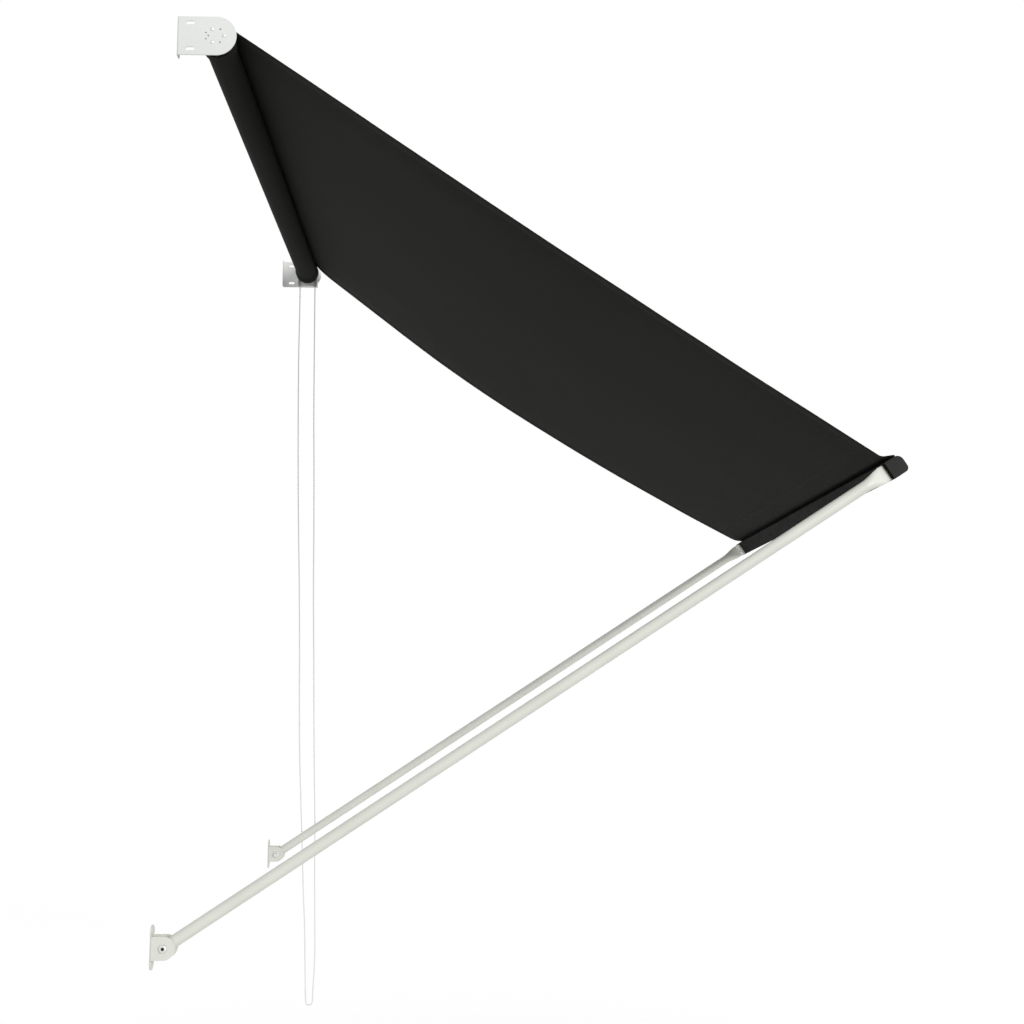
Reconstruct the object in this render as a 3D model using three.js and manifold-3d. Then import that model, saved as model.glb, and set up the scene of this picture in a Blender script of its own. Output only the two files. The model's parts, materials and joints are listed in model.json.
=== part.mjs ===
// A wall-mounted drop-arm awning with a bead-chain roller, let out as far as it goes.
// Millimetres, +Z up. The origin is on the wall plane, at mid-width, level with the roller's axis.
// The wall is the plane y = 0 and the awning stands out towards -Y. The chain hangs at the +X end.
import * as THREE from "three";
import { mergeVertices } from "three/addons/utils/BufferGeometryUtils.js";
import Module from "manifold-3d";

// Driving dimensions of the whole awning
const WIDTH = 1500; // over the outer faces of the two roller brackets
const ROLLER_OUT = 74; // roller axis from the wall
const PIVOT_OUT = 24; // arm pivots from the wall
const PIVOT_DROP = 1683; // arm pivots below the roller axis
const ARM_SPAN = 1418; // between the axes of the two arms
const ARM_LENGTH = 1574.5; // pivot to the flat side of the front bar
const ARM_ANGLE = THREE.MathUtils.degToRad(33); // arms above the horizontal
const FABRIC_WIDTH = 1453;
const CHAIN_DROP = 2099; // lowest point of the chain loop below the roller axis

// Sheet metal, clearances and mesh fineness
const SHEET = 2.5;
const GAP = 0.3;
const MERGE = 1e-4;
const OVERCUT = 1; // how far a cutting solid runs past the face that it cuts
const ARC_STEPS = 6;
const ROUND_SIDES = 24;
const SMALL_SIDES = 10;
const ARM_SIDES = 16;

// Roller brackets: a plate with a round front end, and a flange turned in along the wall
const BRACKET_R = 38.5;
const FLANGE_WIDTH = 20;
const PLATE_SLOT = { out: 25, height: 26, length: 17, width: 6.5 };
const FLANGE_SLOT = { inset: 11.5, height: 21, length: 14, width: 6.5 };
const RIVET_CIRCLE = 15;
const RIVET_ANGLES = [0, 120, 240];
const SPARE_HOLE_ANGLES = [60, 180, 300];
const SPARE_HOLE_R = 2;
const OUTER_HOLE = { circle: 20.5, angles: [162, 198], r: 1.5 };
const RIVET = { shank: 1.9, hole: 2.2, head: 3.6, dome: 1.8, tail: 3, tailHeight: 1.1 };
const RIVET_SHOULDER = { r: 2.7, height: 1.25 };

// Roller: tube, wound cloth, idler end and clutch end
const TUBE = { r: 25, wall: 1.2, left: -738, right: 727 };
const ROLL_R = 29.5;
const ROLL_END = { r: 33.3, width: 22, taper: 6 }; // the side hems pile up at both ends
const HUB_PLATE = 2.7;
const IDLER = { flange: 22, shaft: 7, tip: -704 };
const IDLER_PLUG = { barrel: 23.4, bore: 7.3, rim: 26.5, rimWidth: 3, tip: -700 };
const CLUTCH_SHAFT = { r: 9, tip: 694 };
const SPRING = { inner: 9.3, outer: 10.8, from: 698, to: 722 };
const GUARD = { outer: 33, inner: 27, half: 29, bottom: 40, lip: 729, slot: 7.5 };
const WHEEL = { rim: 25.5, root: 19.5, from: 729, to: 742.5, lip: 2.5 };
const WHEEL_BARREL = { r: 23.4, tip: 692, bore: 9.3, relief: 11.2 };

// Bead chain: a loop over the wheel, hanging free below the guard
const CHAIN_R = 2.2;
const CHAIN_PITCH_R = 22;
const CHAIN_TOP = 41;
const CHAIN_STEPS = 64;
const CHAIN_SIDES = 8;
const WRAP_STEPS = 20;
const WRAP_TURN = 15; // degrees between points round the wheel

// Lower arm brackets: a wall plate with two ears
const EAR = { r: 20.5, inner: 12.5 };
const PIVOT_HOLE = 4.2;
const BASE = { height: 78, holeHeight: 29.5, holeR: 3.2 };
const BOLT = { r: 3.9, head: 7.5, headHeight: 4.2, rim: 1.5, crown: 5.4, tail: 3 };
const SOCKET = { flats: 5.8, depth: 2.4 };
const NUT = { flats: 13, height: 6.5 };
const WASHER = { outer: 9, inner: 4.3, height: 0.9 };
const BUSH = { outer: 5.7, hole: 6, length: 21.4 };

// Arms: round tube, its upper end flattened and bent to lie along the front bar
const ARM = { r: 11, wall: 1.2, tail: 13, thickness: 5, halfWidth: 16.5 };
const FLARE = [
  { back: 54, halfX: 11, halfZ: 11, square: 1 },
  { back: 36, halfX: 8.1, halfZ: 12.9, square: 0.9 },
  { back: 23, halfX: 4.6, halfZ: 15.4, square: 0.7 },
  { back: 14, halfX: 2.5, halfZ: 16.5, square: 0.5 },
  { back: 0, halfX: 2.5, halfZ: 16.5, square: 0.5 },
];
const HOLLOW_STATIONS = 3; // how many of those the tube's hollow reaches
const TAB = { reach: 36, screwIn: 21, screwUp: 8.5, corner: 5 };
const SCREW = { r: 2.4, hole: 2.8, head: 5, headHeight: 2.8, length: 16 };
const SCREW_HEAD = { rim: 1.1, crown: 3.5 };
const SCREW_POINT = 2;

// Front bar: hollow section with a rope groove along its top
const BAR = { depth: 34.5, half: 18, wall: 2, end: 716.5 };
const BAR_ROUND = { corner: 1.5, top: 14, bottom: 9, least: 0.4 };
const GROOVE = { out: 22, up: 12.2, r: 3.2, slot: 1.8, wall: 1.8 };
const CAP = { plate: 3, plug: 14, clearance: 0.4, wall: 2 };
const HEM_ROD = { r: 2.5, half: 712 };

// Cloth: leaves the roll over its top, sags, and ends in a stiff hem at the front bar
const CLOTH = { thickness: 1.6, lengthSteps: 14, widthSteps: 6, clear: 0.6 };
const SAG = { left: 6.8, right: 45, skew: 0.86 };
const HEM_BEND = { out: 2, up: 30.5 };
const HEM_END = { out: 21.6, up: 19.6 };

// Finishes
const WHITE_COAT = { color: 0xe6e8e4, roughness: 0.45, metalness: 0 };
const ARM_COAT = { color: 0xdfe0d8, roughness: 0.42, metalness: 0 };
const WHITE_PLASTIC = { color: 0xe2e3e0, roughness: 0.5, metalness: 0 };
const CHAIN_PLASTIC = { color: 0xd9dad8, roughness: 0.4, metalness: 0 };
const NYLON = { color: 0xdcdcd6, roughness: 0.6, metalness: 0 };
const ZINC = { color: 0xb4b6b6, roughness: 0.35, metalness: 1 };
const GALVANISED = { color: 0xa9adaf, roughness: 0.4, metalness: 1 };
const DARK_COAT = { color: 0x2e2f2f, roughness: 0.5, metalness: 0 };
const DARK_PLASTIC = { color: 0x333434, roughness: 0.55, metalness: 0 };
const CANVAS = { color: 0x282826, roughness: 0.9, metalness: 0 };

const LEFT = -1;
const RIGHT = 1;
const HALF = WIDTH / 2;
const AXIS_X = new THREE.Vector3(1, 0, 0);
const AXIS_Y = new THREE.Vector3(0, 1, 0);
const AXIS_Z = new THREE.Vector3(0, 0, 1);
const OUTWARD = new THREE.Vector3(0, -1, 0);

const wasm = await Module();
wasm.setup();

// A closed three.js geometry as a solid that can be joined and cut
function solid(geometry) {
  const bare = geometry.index ? geometry.toNonIndexed() : geometry.clone();
  bare.deleteAttribute("normal");
  bare.deleteAttribute("uv");
  const merged = mergeVertices(bare, MERGE);
  const vertProperties = merged.attributes.position.array;
  const triVerts = new Uint32Array(merged.index.array);
  return new wasm.Manifold(new wasm.Mesh({ numProp: 3, vertProperties, triVerts }));
}

// A named mesh of a solid, with a material of its own
function piece(name, body, finish) {
  const { vertProperties, triVerts } = body.getMesh();
  const geometry = new THREE.BufferGeometry();
  geometry.setAttribute("position", new THREE.BufferAttribute(vertProperties, 3));
  geometry.setIndex(new THREE.BufferAttribute(triVerts, 1));
  geometry.computeVertexNormals();
  const mesh = new THREE.Mesh(geometry, new THREE.MeshStandardMaterial(finish));
  mesh.name = name;
  return mesh;
}

// An outline in the (y, z) plane, extruded between two places along X
function slabX(outline, xa, xb) {
  const options = { depth: Math.abs(xb - xa), bevelEnabled: false, curveSegments: ARC_STEPS };
  const geometry = new THREE.ExtrudeGeometry(outline, options);
  const basis = new THREE.Matrix4().makeBasis(AXIS_Y, AXIS_Z, AXIS_X);
  return solid(geometry.applyMatrix4(basis.setPosition(Math.min(xa, xb), 0, 0)));
}

// An outline in the (x, z) plane, extruded outward from a distance in front of the wall
function slabOut(outline, from, to) {
  const options = { depth: to - from, bevelEnabled: false, curveSegments: ARC_STEPS };
  const geometry = new THREE.ExtrudeGeometry(outline, options);
  const basis = new THREE.Matrix4().makeBasis(AXIS_X, AXIS_Z, OUTWARD);
  return solid(geometry.applyMatrix4(basis.setPosition(0, -from, 0)));
}

// A turned piece about the X axis from a profile of [radius, x] that runs counterclockwise
function turned(profile, sides = ROUND_SIDES, y = 0, z = 0) {
  const points = profile.map(([r, x]) => new THREE.Vector2(r, x));
  const geometry = new THREE.LatheGeometry(points, sides);
  geometry.rotateZ(-Math.PI / 2);
  return solid(geometry.translate(0, y, z));
}

// A turned ring or rod between two places along X
function ringX(inner, outer, xa, xb, sides = ROUND_SIDES, y = 0, z = 0) {
  const [low, high] = [Math.min(xa, xb), Math.max(xa, xb)];
  const profile = [[inner, low], [outer, low], [outer, high], [inner, high], [inner, low]];
  return turned(profile, sides, y, z);
}

function rodX(r, xa, xb, sides = SMALL_SIDES, y = 0, z = 0) {
  const [low, high] = [Math.min(xa, xb), Math.max(xa, xb)];
  return turned([[0, low], [r, low], [r, high], [0, high]], sides, y, z);
}

// A rod that points outward, away from the wall
function rodOut(r, from, to, x, z, sides = SMALL_SIDES) {
  const geometry = new THREE.CylinderGeometry(r, r, to - from, sides);
  return solid(geometry.translate(x, -(from + to) / 2, z));
}

// Closed surface through rings of equal point counts, each counterclockwise about the way they run
function loft(rings) {
  const count = rings[0].length;
  const ends = [rings[0], rings[rings.length - 1]];
  const points = [...rings.flat()];
  for (const ring of ends) {
    points.push(ring.reduce((sum, p) => sum.add(p), new THREE.Vector3()).divideScalar(count));
  }
  const [first, last] = [rings.length * count, rings.length * count + 1];
  const lastRing = (rings.length - 1) * count;
  const index = [];
  for (let j = 0; j < count; j++) {
    const k = (j + 1) % count;
    index.push(first, k, j, last, lastRing + j, lastRing + k);
    for (let i = 0; i < lastRing; i += count) {
      index.push(i + j, i + k, i + count + k, i + j, i + count + k, i + count + j);
    }
  }
  return solid(new THREE.BufferGeometry().setFromPoints(points).setIndex(index));
}

// Outlines
function rectangle(left, right, bottom, top) {
  const s = new THREE.Shape();
  s.moveTo(left, bottom);
  s.lineTo(right, bottom);
  s.lineTo(right, top);
  s.lineTo(left, top);
  return s;
}

function roundedRectangle(left, right, bottom, top, r) {
  const s = new THREE.Shape();
  s.absarc(right - r, bottom + r, r, 1.5 * Math.PI, 2 * Math.PI, false);
  s.absarc(right - r, top - r, r, 0, 0.5 * Math.PI, false);
  s.absarc(left + r, top - r, r, 0.5 * Math.PI, Math.PI, false);
  s.absarc(left + r, bottom + r, r, Math.PI, 1.5 * Math.PI, false);
  return s;
}

function circle(a, b, r) {
  return new THREE.Shape().absarc(a, b, r, 0, 2 * Math.PI, false);
}

function roundedSlot(a, b, length, width, upright = false) {
  const [reach, r, turn] = [(length - width) / 2, width / 2, upright ? Math.PI / 2 : 0];
  const [da, db] = upright ? [0, reach] : [reach, 0];
  const p = new THREE.Path();
  p.absarc(a + da, b + db, r, turn - Math.PI / 2, turn + Math.PI / 2, false);
  p.absarc(a - da, b - db, r, turn + Math.PI / 2, turn + 1.5 * Math.PI, false);
  return p;
}

// A turned profile drawn for the right-hand end, or its mirror image for the left
function sided(profile, side) {
  return side === RIGHT ? profile : profile.map(([r, x]) => [r, -x]).reverse();
}

function onCircle(radius, degrees) {
  const angle = THREE.MathUtils.degToRad(degrees);
  return [radius * Math.cos(angle), radius * Math.sin(angle)];
}

// Roller bracket: the plate carries two slots, the rivet holes and a few spare holes round the hub
function rollerBracket(side) {
  const plate = new THREE.Shape();
  plate.moveTo(0, -BRACKET_R);
  plate.lineTo(0, BRACKET_R);
  plate.absarc(-ROLLER_OUT, 0, BRACKET_R, Math.PI / 2, 1.5 * Math.PI, false);
  for (const z of [-PLATE_SLOT.height, PLATE_SLOT.height]) {
    plate.holes.push(roundedSlot(-PLATE_SLOT.out, z, PLATE_SLOT.length, PLATE_SLOT.width));
  }
  const hole = (radius, angle, r) => {
    const [out, up] = onCircle(radius, angle);
    plate.holes.push(circle(-ROLLER_OUT - out, up, r));
  };
  RIVET_ANGLES.forEach((angle) => hole(RIVET_CIRCLE, angle, RIVET.hole));
  SPARE_HOLE_ANGLES.forEach((angle) => hole(RIVET_CIRCLE, angle, SPARE_HOLE_R));
  OUTER_HOLE.angles.forEach((angle) => hole(OUTER_HOLE.circle, angle, OUTER_HOLE.r));
  const edges = [side * HALF, side * (HALF - FLANGE_WIDTH)];
  const flange = rectangle(Math.min(...edges), Math.max(...edges), -BRACKET_R, BRACKET_R);
  for (const z of [-FLANGE_SLOT.height, FLANGE_SLOT.height]) {
    const x = side * (HALF - FLANGE_SLOT.inset);
    flange.holes.push(roundedSlot(x, z, FLANGE_SLOT.length, FLANGE_SLOT.width, true));
  }
  return slabX(plate, side * HALF, side * (HALF - SHEET)).add(slabOut(flange, 0, SHEET));
}

// Rivet through the bracket plate and the moulded hub plate behind it
function hubRivet(side, angle) {
  const [out, up] = onCircle(RIVET_CIRCLE, angle);
  const head = HALF + GAP;
  const tail = HALF - SHEET - GAP - HUB_PLATE - GAP;
  const profile = [
    [0, tail - RIVET.tailHeight],
    [RIVET.tail, tail - RIVET.tailHeight],
    [RIVET.tail, tail],
    [RIVET.shank, tail],
    [RIVET.shank, head],
    [RIVET.head, head],
    [RIVET_SHOULDER.r, head + RIVET_SHOULDER.height],
    [0, head + RIVET.dome],
  ];
  return turned(sided(profile, side), SMALL_SIDES, -out, up);
}

function rivetHoles(side) {
  const [from, to] = [side * (HALF - SHEET), side * (HALF - SHEET - HUB_PLATE - 2 * GAP)];
  return RIVET_ANGLES.map((angle) => {
    const [out, up] = onCircle(RIVET_CIRCLE, angle);
    return rodX(RIVET.hole, from, to, SMALL_SIDES, -out, up);
  });
}

// Idler end: a moulded flange with a shaft, on which the left plug of the tube turns
function idlerPin() {
  const back = -(HALF - SHEET - GAP);
  const face = back + HUB_PLATE;
  const profile = [
    [0, back],
    [IDLER.flange, back],
    [IDLER.flange, face],
    [IDLER.shaft, face],
    [IDLER.shaft, IDLER.tip],
    [0, IDLER.tip],
  ];
  return rivetHoles(LEFT).reduce((body, hole) => body.subtract(hole), turned(profile));
}

function idlerPlug() {
  const rim = TUBE.left - GAP;
  return turned([
    [IDLER_PLUG.bore, rim - IDLER_PLUG.rimWidth],
    [IDLER_PLUG.rim, rim - IDLER_PLUG.rimWidth],
    [IDLER_PLUG.rim, rim],
    [IDLER_PLUG.barrel, rim],
    [IDLER_PLUG.barrel, IDLER_PLUG.tip],
    [IDLER_PLUG.bore, IDLER_PLUG.tip],
    [IDLER_PLUG.bore, rim - IDLER_PLUG.rimWidth],
  ]);
}

// Clutch end: a moulded base with a fixed shaft and a guard round the wheel, open below for the chain
function clutchBase() {
  const back = HALF - SHEET - GAP;
  const face = back - HUB_PLATE;
  const flank = Math.acos(GUARD.half / GUARD.outer);
  const outline = new THREE.Shape();
  outline.moveTo(-GUARD.half, -GUARD.bottom);
  outline.lineTo(GUARD.half, -GUARD.bottom);
  outline.absarc(0, 0, GUARD.outer, -flank, Math.PI + flank, false);
  const plate = slabX(outline, face, back);
  outline.holes.push(circle(0, 0, GUARD.inner));
  let wall = slabX(outline, GUARD.lip, back);
  for (const strand of [-CHAIN_PITCH_R, CHAIN_PITCH_R]) {
    const [near, far] = [strand - GUARD.slot / 2, strand + GUARD.slot / 2];
    const way = rectangle(near, far, -GUARD.bottom - OVERCUT, 0);
    wall = wall.subtract(slabX(way, GUARD.lip - OVERCUT, face));
  }
  const body = plate.add(wall).add(rodX(CLUTCH_SHAFT.r, CLUTCH_SHAFT.tip, back, ROUND_SIDES));
  return rivetHoles(RIGHT).reduce((cut, hole) => cut.subtract(hole), body);
}

// Chain wheel: a grooved rim for the chain and a barrel that drives the tube
function chainWheel() {
  return turned([
    [WHEEL_BARREL.relief, WHEEL_BARREL.tip],
    [WHEEL_BARREL.r, WHEEL_BARREL.tip],
    [WHEEL_BARREL.r, WHEEL.from],
    [WHEEL.rim, WHEEL.from],
    [WHEEL.rim, WHEEL.from + WHEEL.lip],
    [WHEEL.root, WHEEL.from + WHEEL.lip],
    [WHEEL.root, WHEEL.to - WHEEL.lip],
    [WHEEL.rim, WHEEL.to - WHEEL.lip],
    [WHEEL.rim, WHEEL.to],
    [WHEEL_BARREL.bore, WHEEL.to],
    [WHEEL_BARREL.bore, SPRING.to + GAP],
    [WHEEL_BARREL.relief, SPRING.to + GAP],
    [WHEEL_BARREL.relief, WHEEL_BARREL.tip],
  ]);
}

// Chain, as a plain round cord. Offsets [outward from the roller axis, below it] along the hanging loop
const CHAIN_ROUTE = [
  [-22, CHAIN_TOP],
  [-21.8, 120],
  [-22, 260],
  [-20, 420],
  [-16.5, 600],
  [-11.5, 780],
  [-6.5, 930],
  [-2.5, 1090],
  [1, 1280],
  [4.5, 1410],
  [10, 1530],
  [16.5, 1660],
  [22.5, 1790],
  [28, 1890],
  [31, 1980],
  [33, 2050],
  [35, 2087.8],
  [36.2, 2092.3],
  [39.5, 2095.6],
  [44, CHAIN_DROP - CHAIN_R],
  [48.5, 2095.6],
  [51.8, 2092.3],
  [53, 2087.8],
  [54.5, 2045],
  [57.5, 1975],
  [56, 1870],
  [53, 1740],
  [51, 1600],
  [46.5, 1450],
  [42.5, 1290],
  [39, 1130],
  [34.5, 940],
  [32.5, 780],
  [29.5, 600],
  [26, 440],
  [24, 280],
  [22.5, 120],
  [22, CHAIN_TOP],
];

function cord(points, steps) {
  const extrudePath = new THREE.CatmullRomCurve3(points);
  const round = circle(0, 0, CHAIN_R).getSpacedPoints(CHAIN_SIDES);
  const section = new THREE.Shape(round.slice(0, CHAIN_SIDES));
  return solid(new THREE.ExtrudeGeometry(section, { steps, extrudePath }));
}

const CHAIN_X = (WHEEL.from + WHEEL.to) / 2;

function hangingChain() {
  const points = CHAIN_ROUTE.map(([out, down]) => new THREE.Vector3(CHAIN_X, -out, -down));
  return cord(points, CHAIN_STEPS);
}

function chainOverWheel() {
  const leg = CHAIN_TOP - GAP;
  const points = [[-CHAIN_PITCH_R, -leg], [-CHAIN_PITCH_R, -leg / 2]];
  for (let angle = 180; angle >= 0; angle -= WRAP_TURN) {
    points.push(onCircle(CHAIN_PITCH_R, angle));
  }
  points.push([CHAIN_PITCH_R, -leg / 2], [CHAIN_PITCH_R, -leg]);
  return cord(points.map(([out, up]) => new THREE.Vector3(CHAIN_X, -out, up)), WRAP_STEPS);
}

// Lower arm bracket: a wall plate with round ends and two ears that hold the pivot bolt
function armBracket() {
  const width = EAR.inner + SHEET;
  const straight = BASE.height / 2 - width;
  const base = new THREE.Shape();
  base.absarc(0, straight, width, 0, Math.PI, false);
  base.absarc(0, -straight, width, Math.PI, 2 * Math.PI, false);
  base.holes.push(circle(0, BASE.holeHeight, BASE.holeR), circle(0, -BASE.holeHeight, BASE.holeR));
  const ear = new THREE.Shape();
  ear.moveTo(0, -EAR.r);
  ear.lineTo(0, EAR.r);
  ear.absarc(-PIVOT_OUT, 0, EAR.r, Math.PI / 2, 1.5 * Math.PI, false);
  ear.holes.push(circle(-PIVOT_OUT, 0, PIVOT_HOLE));
  const ears = [slabX(ear, EAR.inner, width), slabX(ear, -width, -EAR.inner)];
  return slabOut(base, 0, SHEET).add(ears[0]).add(ears[1]);
}

function hexagon(flats) {
  const corner = flats / Math.sqrt(3);
  const corners = [0, 60, 120, 180, 240, 300].map((angle) => onCircle(corner, angle));
  return new THREE.Shape(corners.map(([a, b]) => new THREE.Vector2(a, b)));
}

// Pivot bolt with a socket head on the outer ear, and its nut on the inner ear
function pivotBolt(side) {
  const seat = EAR.inner + SHEET + GAP;
  const top = seat + BOLT.headHeight;
  const profile = [
    [0, -seat - NUT.height - BOLT.tail],
    [BOLT.r, -seat - NUT.height - BOLT.tail],
    [BOLT.r, seat],
    [BOLT.head, seat],
    [BOLT.head, seat + BOLT.rim],
    [BOLT.crown, top],
    [0, top],
  ];
  const socket = slabX(hexagon(SOCKET.flats), side * (top - SOCKET.depth), side * (top + OVERCUT));
  return turned(sided(profile, side)).subtract(socket);
}

function pivotNut(side) {
  const seat = EAR.inner + SHEET + GAP;
  const outline = hexagon(NUT.flats);
  outline.holes.push(circle(0, 0, PIVOT_HOLE));
  return slabX(outline, -side * seat, -side * (seat + NUT.height));
}

// Cross-section of an arm in its own frame: round, or flattened across X
function armSection(out, halfX, halfZ, squareness) {
  const corner = (c) => Math.sign(c) * Math.abs(c) ** squareness;
  return Array.from({ length: ARM_SIDES }, (_, i) => {
    const angle = (2 * Math.PI * (i + 0.5)) / ARM_SIDES;
    return new THREE.Vector3(halfX * corner(Math.cos(angle)), -out, halfZ * corner(Math.sin(angle)));
  });
}

// Arm, lying along -Y from its pivot. The bent tab reaches inward along the flat side of the front bar
function arm(inward) {
  const end = ARM_LENGTH - GAP;
  const stations = (list, inset) =>
    list.map((f) => armSection(end - f.back, f.halfX - inset, f.halfZ - inset, f.square));
  const bore = ARM.r - ARM.wall;
  const outside = loft([armSection(-ARM.tail, ARM.r, ARM.r, 1), ...stations(FLARE, 0)]);
  const hollow = stations(FLARE.slice(0, HOLLOW_STATIONS), ARM.wall);
  const inside = loft([armSection(-ARM.tail - OVERCUT, bore, bore, 1), ...hollow]);
  const edges = [(-inward * ARM.thickness) / 2, inward * TAB.reach];
  const [left, right] = [Math.min(...edges), Math.max(...edges)];
  const tab = roundedRectangle(left, right, -ARM.halfWidth, ARM.halfWidth, TAB.corner);
  for (const z of [-TAB.screwUp, TAB.screwUp]) {
    tab.holes.push(circle(inward * TAB.screwIn, z, SCREW.hole));
  }
  const pivotHole = rodX(BUSH.hole, -ARM.r - OVERCUT, ARM.r + OVERCUT);
  return outside.subtract(inside).subtract(pivotHole).add(slabOut(tab, end - ARM.thickness, end));
}

// Screw through an arm's tab into the front bar, pointing outward
function tabScrew(x, z) {
  const seat = ARM_LENGTH - GAP - ARM.thickness - GAP;
  const profile = [
    [0, seat - SCREW.headHeight],
    [SCREW_HEAD.crown, seat - SCREW.headHeight],
    [SCREW.head, seat - SCREW_HEAD.rim],
    [SCREW.head, seat],
    [SCREW.r, seat],
    [SCREW.r, seat + SCREW.length - SCREW_POINT],
    [0, seat + SCREW.length],
  ];
  const points = profile.map(([r, out]) => new THREE.Vector2(r, -out)).reverse();
  return solid(new THREE.LatheGeometry(points, SMALL_SIDES).translate(x, 0, z));
}

// Outline of the front bar in the swinging frame, drawn in by an inset
function barOutline(inset) {
  const [inner, outer] = [-ARM_LENGTH - inset, -ARM_LENGTH - BAR.depth + inset];
  const half = BAR.half - inset;
  const rounded = (r) => Math.max(r - inset, BAR_ROUND.least);
  const corner = rounded(BAR_ROUND.corner);
  const top = rounded(BAR_ROUND.top);
  const bottom = rounded(BAR_ROUND.bottom);
  const s = new THREE.Shape();
  s.moveTo(inner, -half + corner);
  s.absarc(inner - corner, half - corner, corner, 0, 0.5 * Math.PI, false);
  s.absarc(outer + top, half - top, top, 0.5 * Math.PI, Math.PI, false);
  s.absarc(outer + bottom, -half + bottom, bottom, Math.PI, 1.5 * Math.PI, false);
  s.absarc(inner - corner, -half + corner, corner, 1.5 * Math.PI, 2 * Math.PI, false);
  return s;
}

function grooveBlock(grow, from, to) {
  const y = -ARM_LENGTH - GROOVE.out;
  const disc = slabX(circle(y, GROOVE.up, GROOVE.r + grow), from, to);
  const half = GROOVE.slot / 2 + grow;
  return disc.add(slabX(rectangle(y - half, y + half, GROOVE.up, BAR.half + OVERCUT), from, to));
}

function frontBar() {
  const end = BAR.end;
  const past = end + OVERCUT;
  const lining = grooveBlock(GROOVE.wall, -past - OVERCUT, past + OVERCUT);
  const cavity = slabX(barOutline(BAR.wall), -past, past).subtract(lining);
  let bar = slabX(barOutline(0), -end, end).subtract(cavity).subtract(grooveBlock(0, -past, past));
  for (const side of [LEFT, RIGHT]) {
    const x = side * (ARM_SPAN / 2 - TAB.screwIn);
    for (const z of [-TAB.screwUp, TAB.screwUp]) {
      const hole = rodOut(SCREW.hole, ARM_LENGTH - OVERCUT, ARM_LENGTH + BAR.wall + OVERCUT, x, z);
      bar = bar.subtract(hole);
    }
  }
  return bar;
}

// End cap: a plate with the bar's outline and a hollow plug that goes into the bar
function barCap(side) {
  const seat = side * (BAR.end + GAP);
  const plugEnd = seat - side * CAP.plug;
  const past = plugEnd - side * OVERCUT;
  const plate = slabX(barOutline(0), seat, seat + side * CAP.plate);
  const plug = slabX(barOutline(BAR.wall + CAP.clearance), seat, plugEnd);
  const hollow = slabX(barOutline(BAR.wall + CAP.clearance + CAP.wall), seat, past);
  const room = grooveBlock(GROOVE.wall + CAP.clearance, seat, past);
  return plate.add(plug.subtract(hollow).subtract(room));
}

// A place in the swinging frame, given outward and upward from the arm's end, as [y, z] at rest
function atBar({ out, up }) {
  const reach = ARM_LENGTH + out;
  const [c, s] = [Math.cos(ARM_ANGLE), Math.sin(ARM_ANGLE)];
  return [-PIVOT_OUT - reach * c + up * s, -PIVOT_DROP + reach * s + up * c];
}

// Cloth between the roll and the front bar. The sag grows from the left edge to the right one
function canopy() {
  const bend = atBar(HEM_BEND);
  const hem = atBar(HEM_END);
  const r = ROLL_END.r + CLOTH.clear + CLOTH.thickness / 2;
  const [dy, dz] = [bend[0] + ROLLER_OUT, bend[1]];
  const lift = Math.atan2(dz, dy) - Math.acos(r / Math.hypot(dy, dz));
  const start = [-ROLLER_OUT + r * Math.cos(lift), r * Math.sin(lift)];
  const [ny, nz] = [Math.cos(lift), Math.sin(lift)];
  const free = (s, across) => {
    const deepest = THREE.MathUtils.lerp(SAG.left, SAG.right, across);
    const deep = deepest * Math.sin(Math.PI * s ** SAG.skew);
    return [
      THREE.MathUtils.lerp(start[0], bend[0], s) - deep * ny,
      THREE.MathUtils.lerp(start[1], bend[1], s) - deep * nz,
    ];
  };
  const shares = (steps) => Array.from({ length: steps + 1 }, (_, i) => i / steps);
  const half = CLOTH.thickness / 2;
  const ring = (place) => {
    const line = shares(CLOTH.widthSteps).map((t) => [(t - 0.5) * FABRIC_WIDTH, ...place(t)]);
    const under = line.map(([x, y, z]) => new THREE.Vector3(x, y - half * ny, z - half * nz));
    const over = line.map(([x, y, z]) => new THREE.Vector3(x, y + half * ny, z + half * nz));
    return [...under, ...over.reverse()];
  };
  const rings = shares(CLOTH.lengthSteps).map((s) => ring((t) => free(s, t)));
  return loft([...rings, ring(() => hem)]);
}

// The cloth wound on the tube, thicker at both ends
function fabricRoll() {
  const end = FABRIC_WIDTH / 2;
  const hem = end - ROLL_END.width;
  const middle = hem - ROLL_END.taper;
  const inner = TUBE.r + GAP;
  return turned([
    [inner, -end],
    [ROLL_END.r, -end],
    [ROLL_END.r, -hem],
    [ROLL_R, -middle],
    [ROLL_R, middle],
    [ROLL_END.r, hem],
    [ROLL_END.r, end],
    [inner, end],
    [inner, -end],
  ]);
}

// Assembly
const awning = new THREE.Group();

const rollerAxis = new THREE.Group();
rollerAxis.position.set(0, -ROLLER_OUT, 0);
awning.add(rollerAxis);

const swing = new THREE.Group();
swing.position.set(0, -PIVOT_OUT, -PIVOT_DROP);
swing.rotation.x = -ARM_ANGLE;
awning.add(swing);

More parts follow.
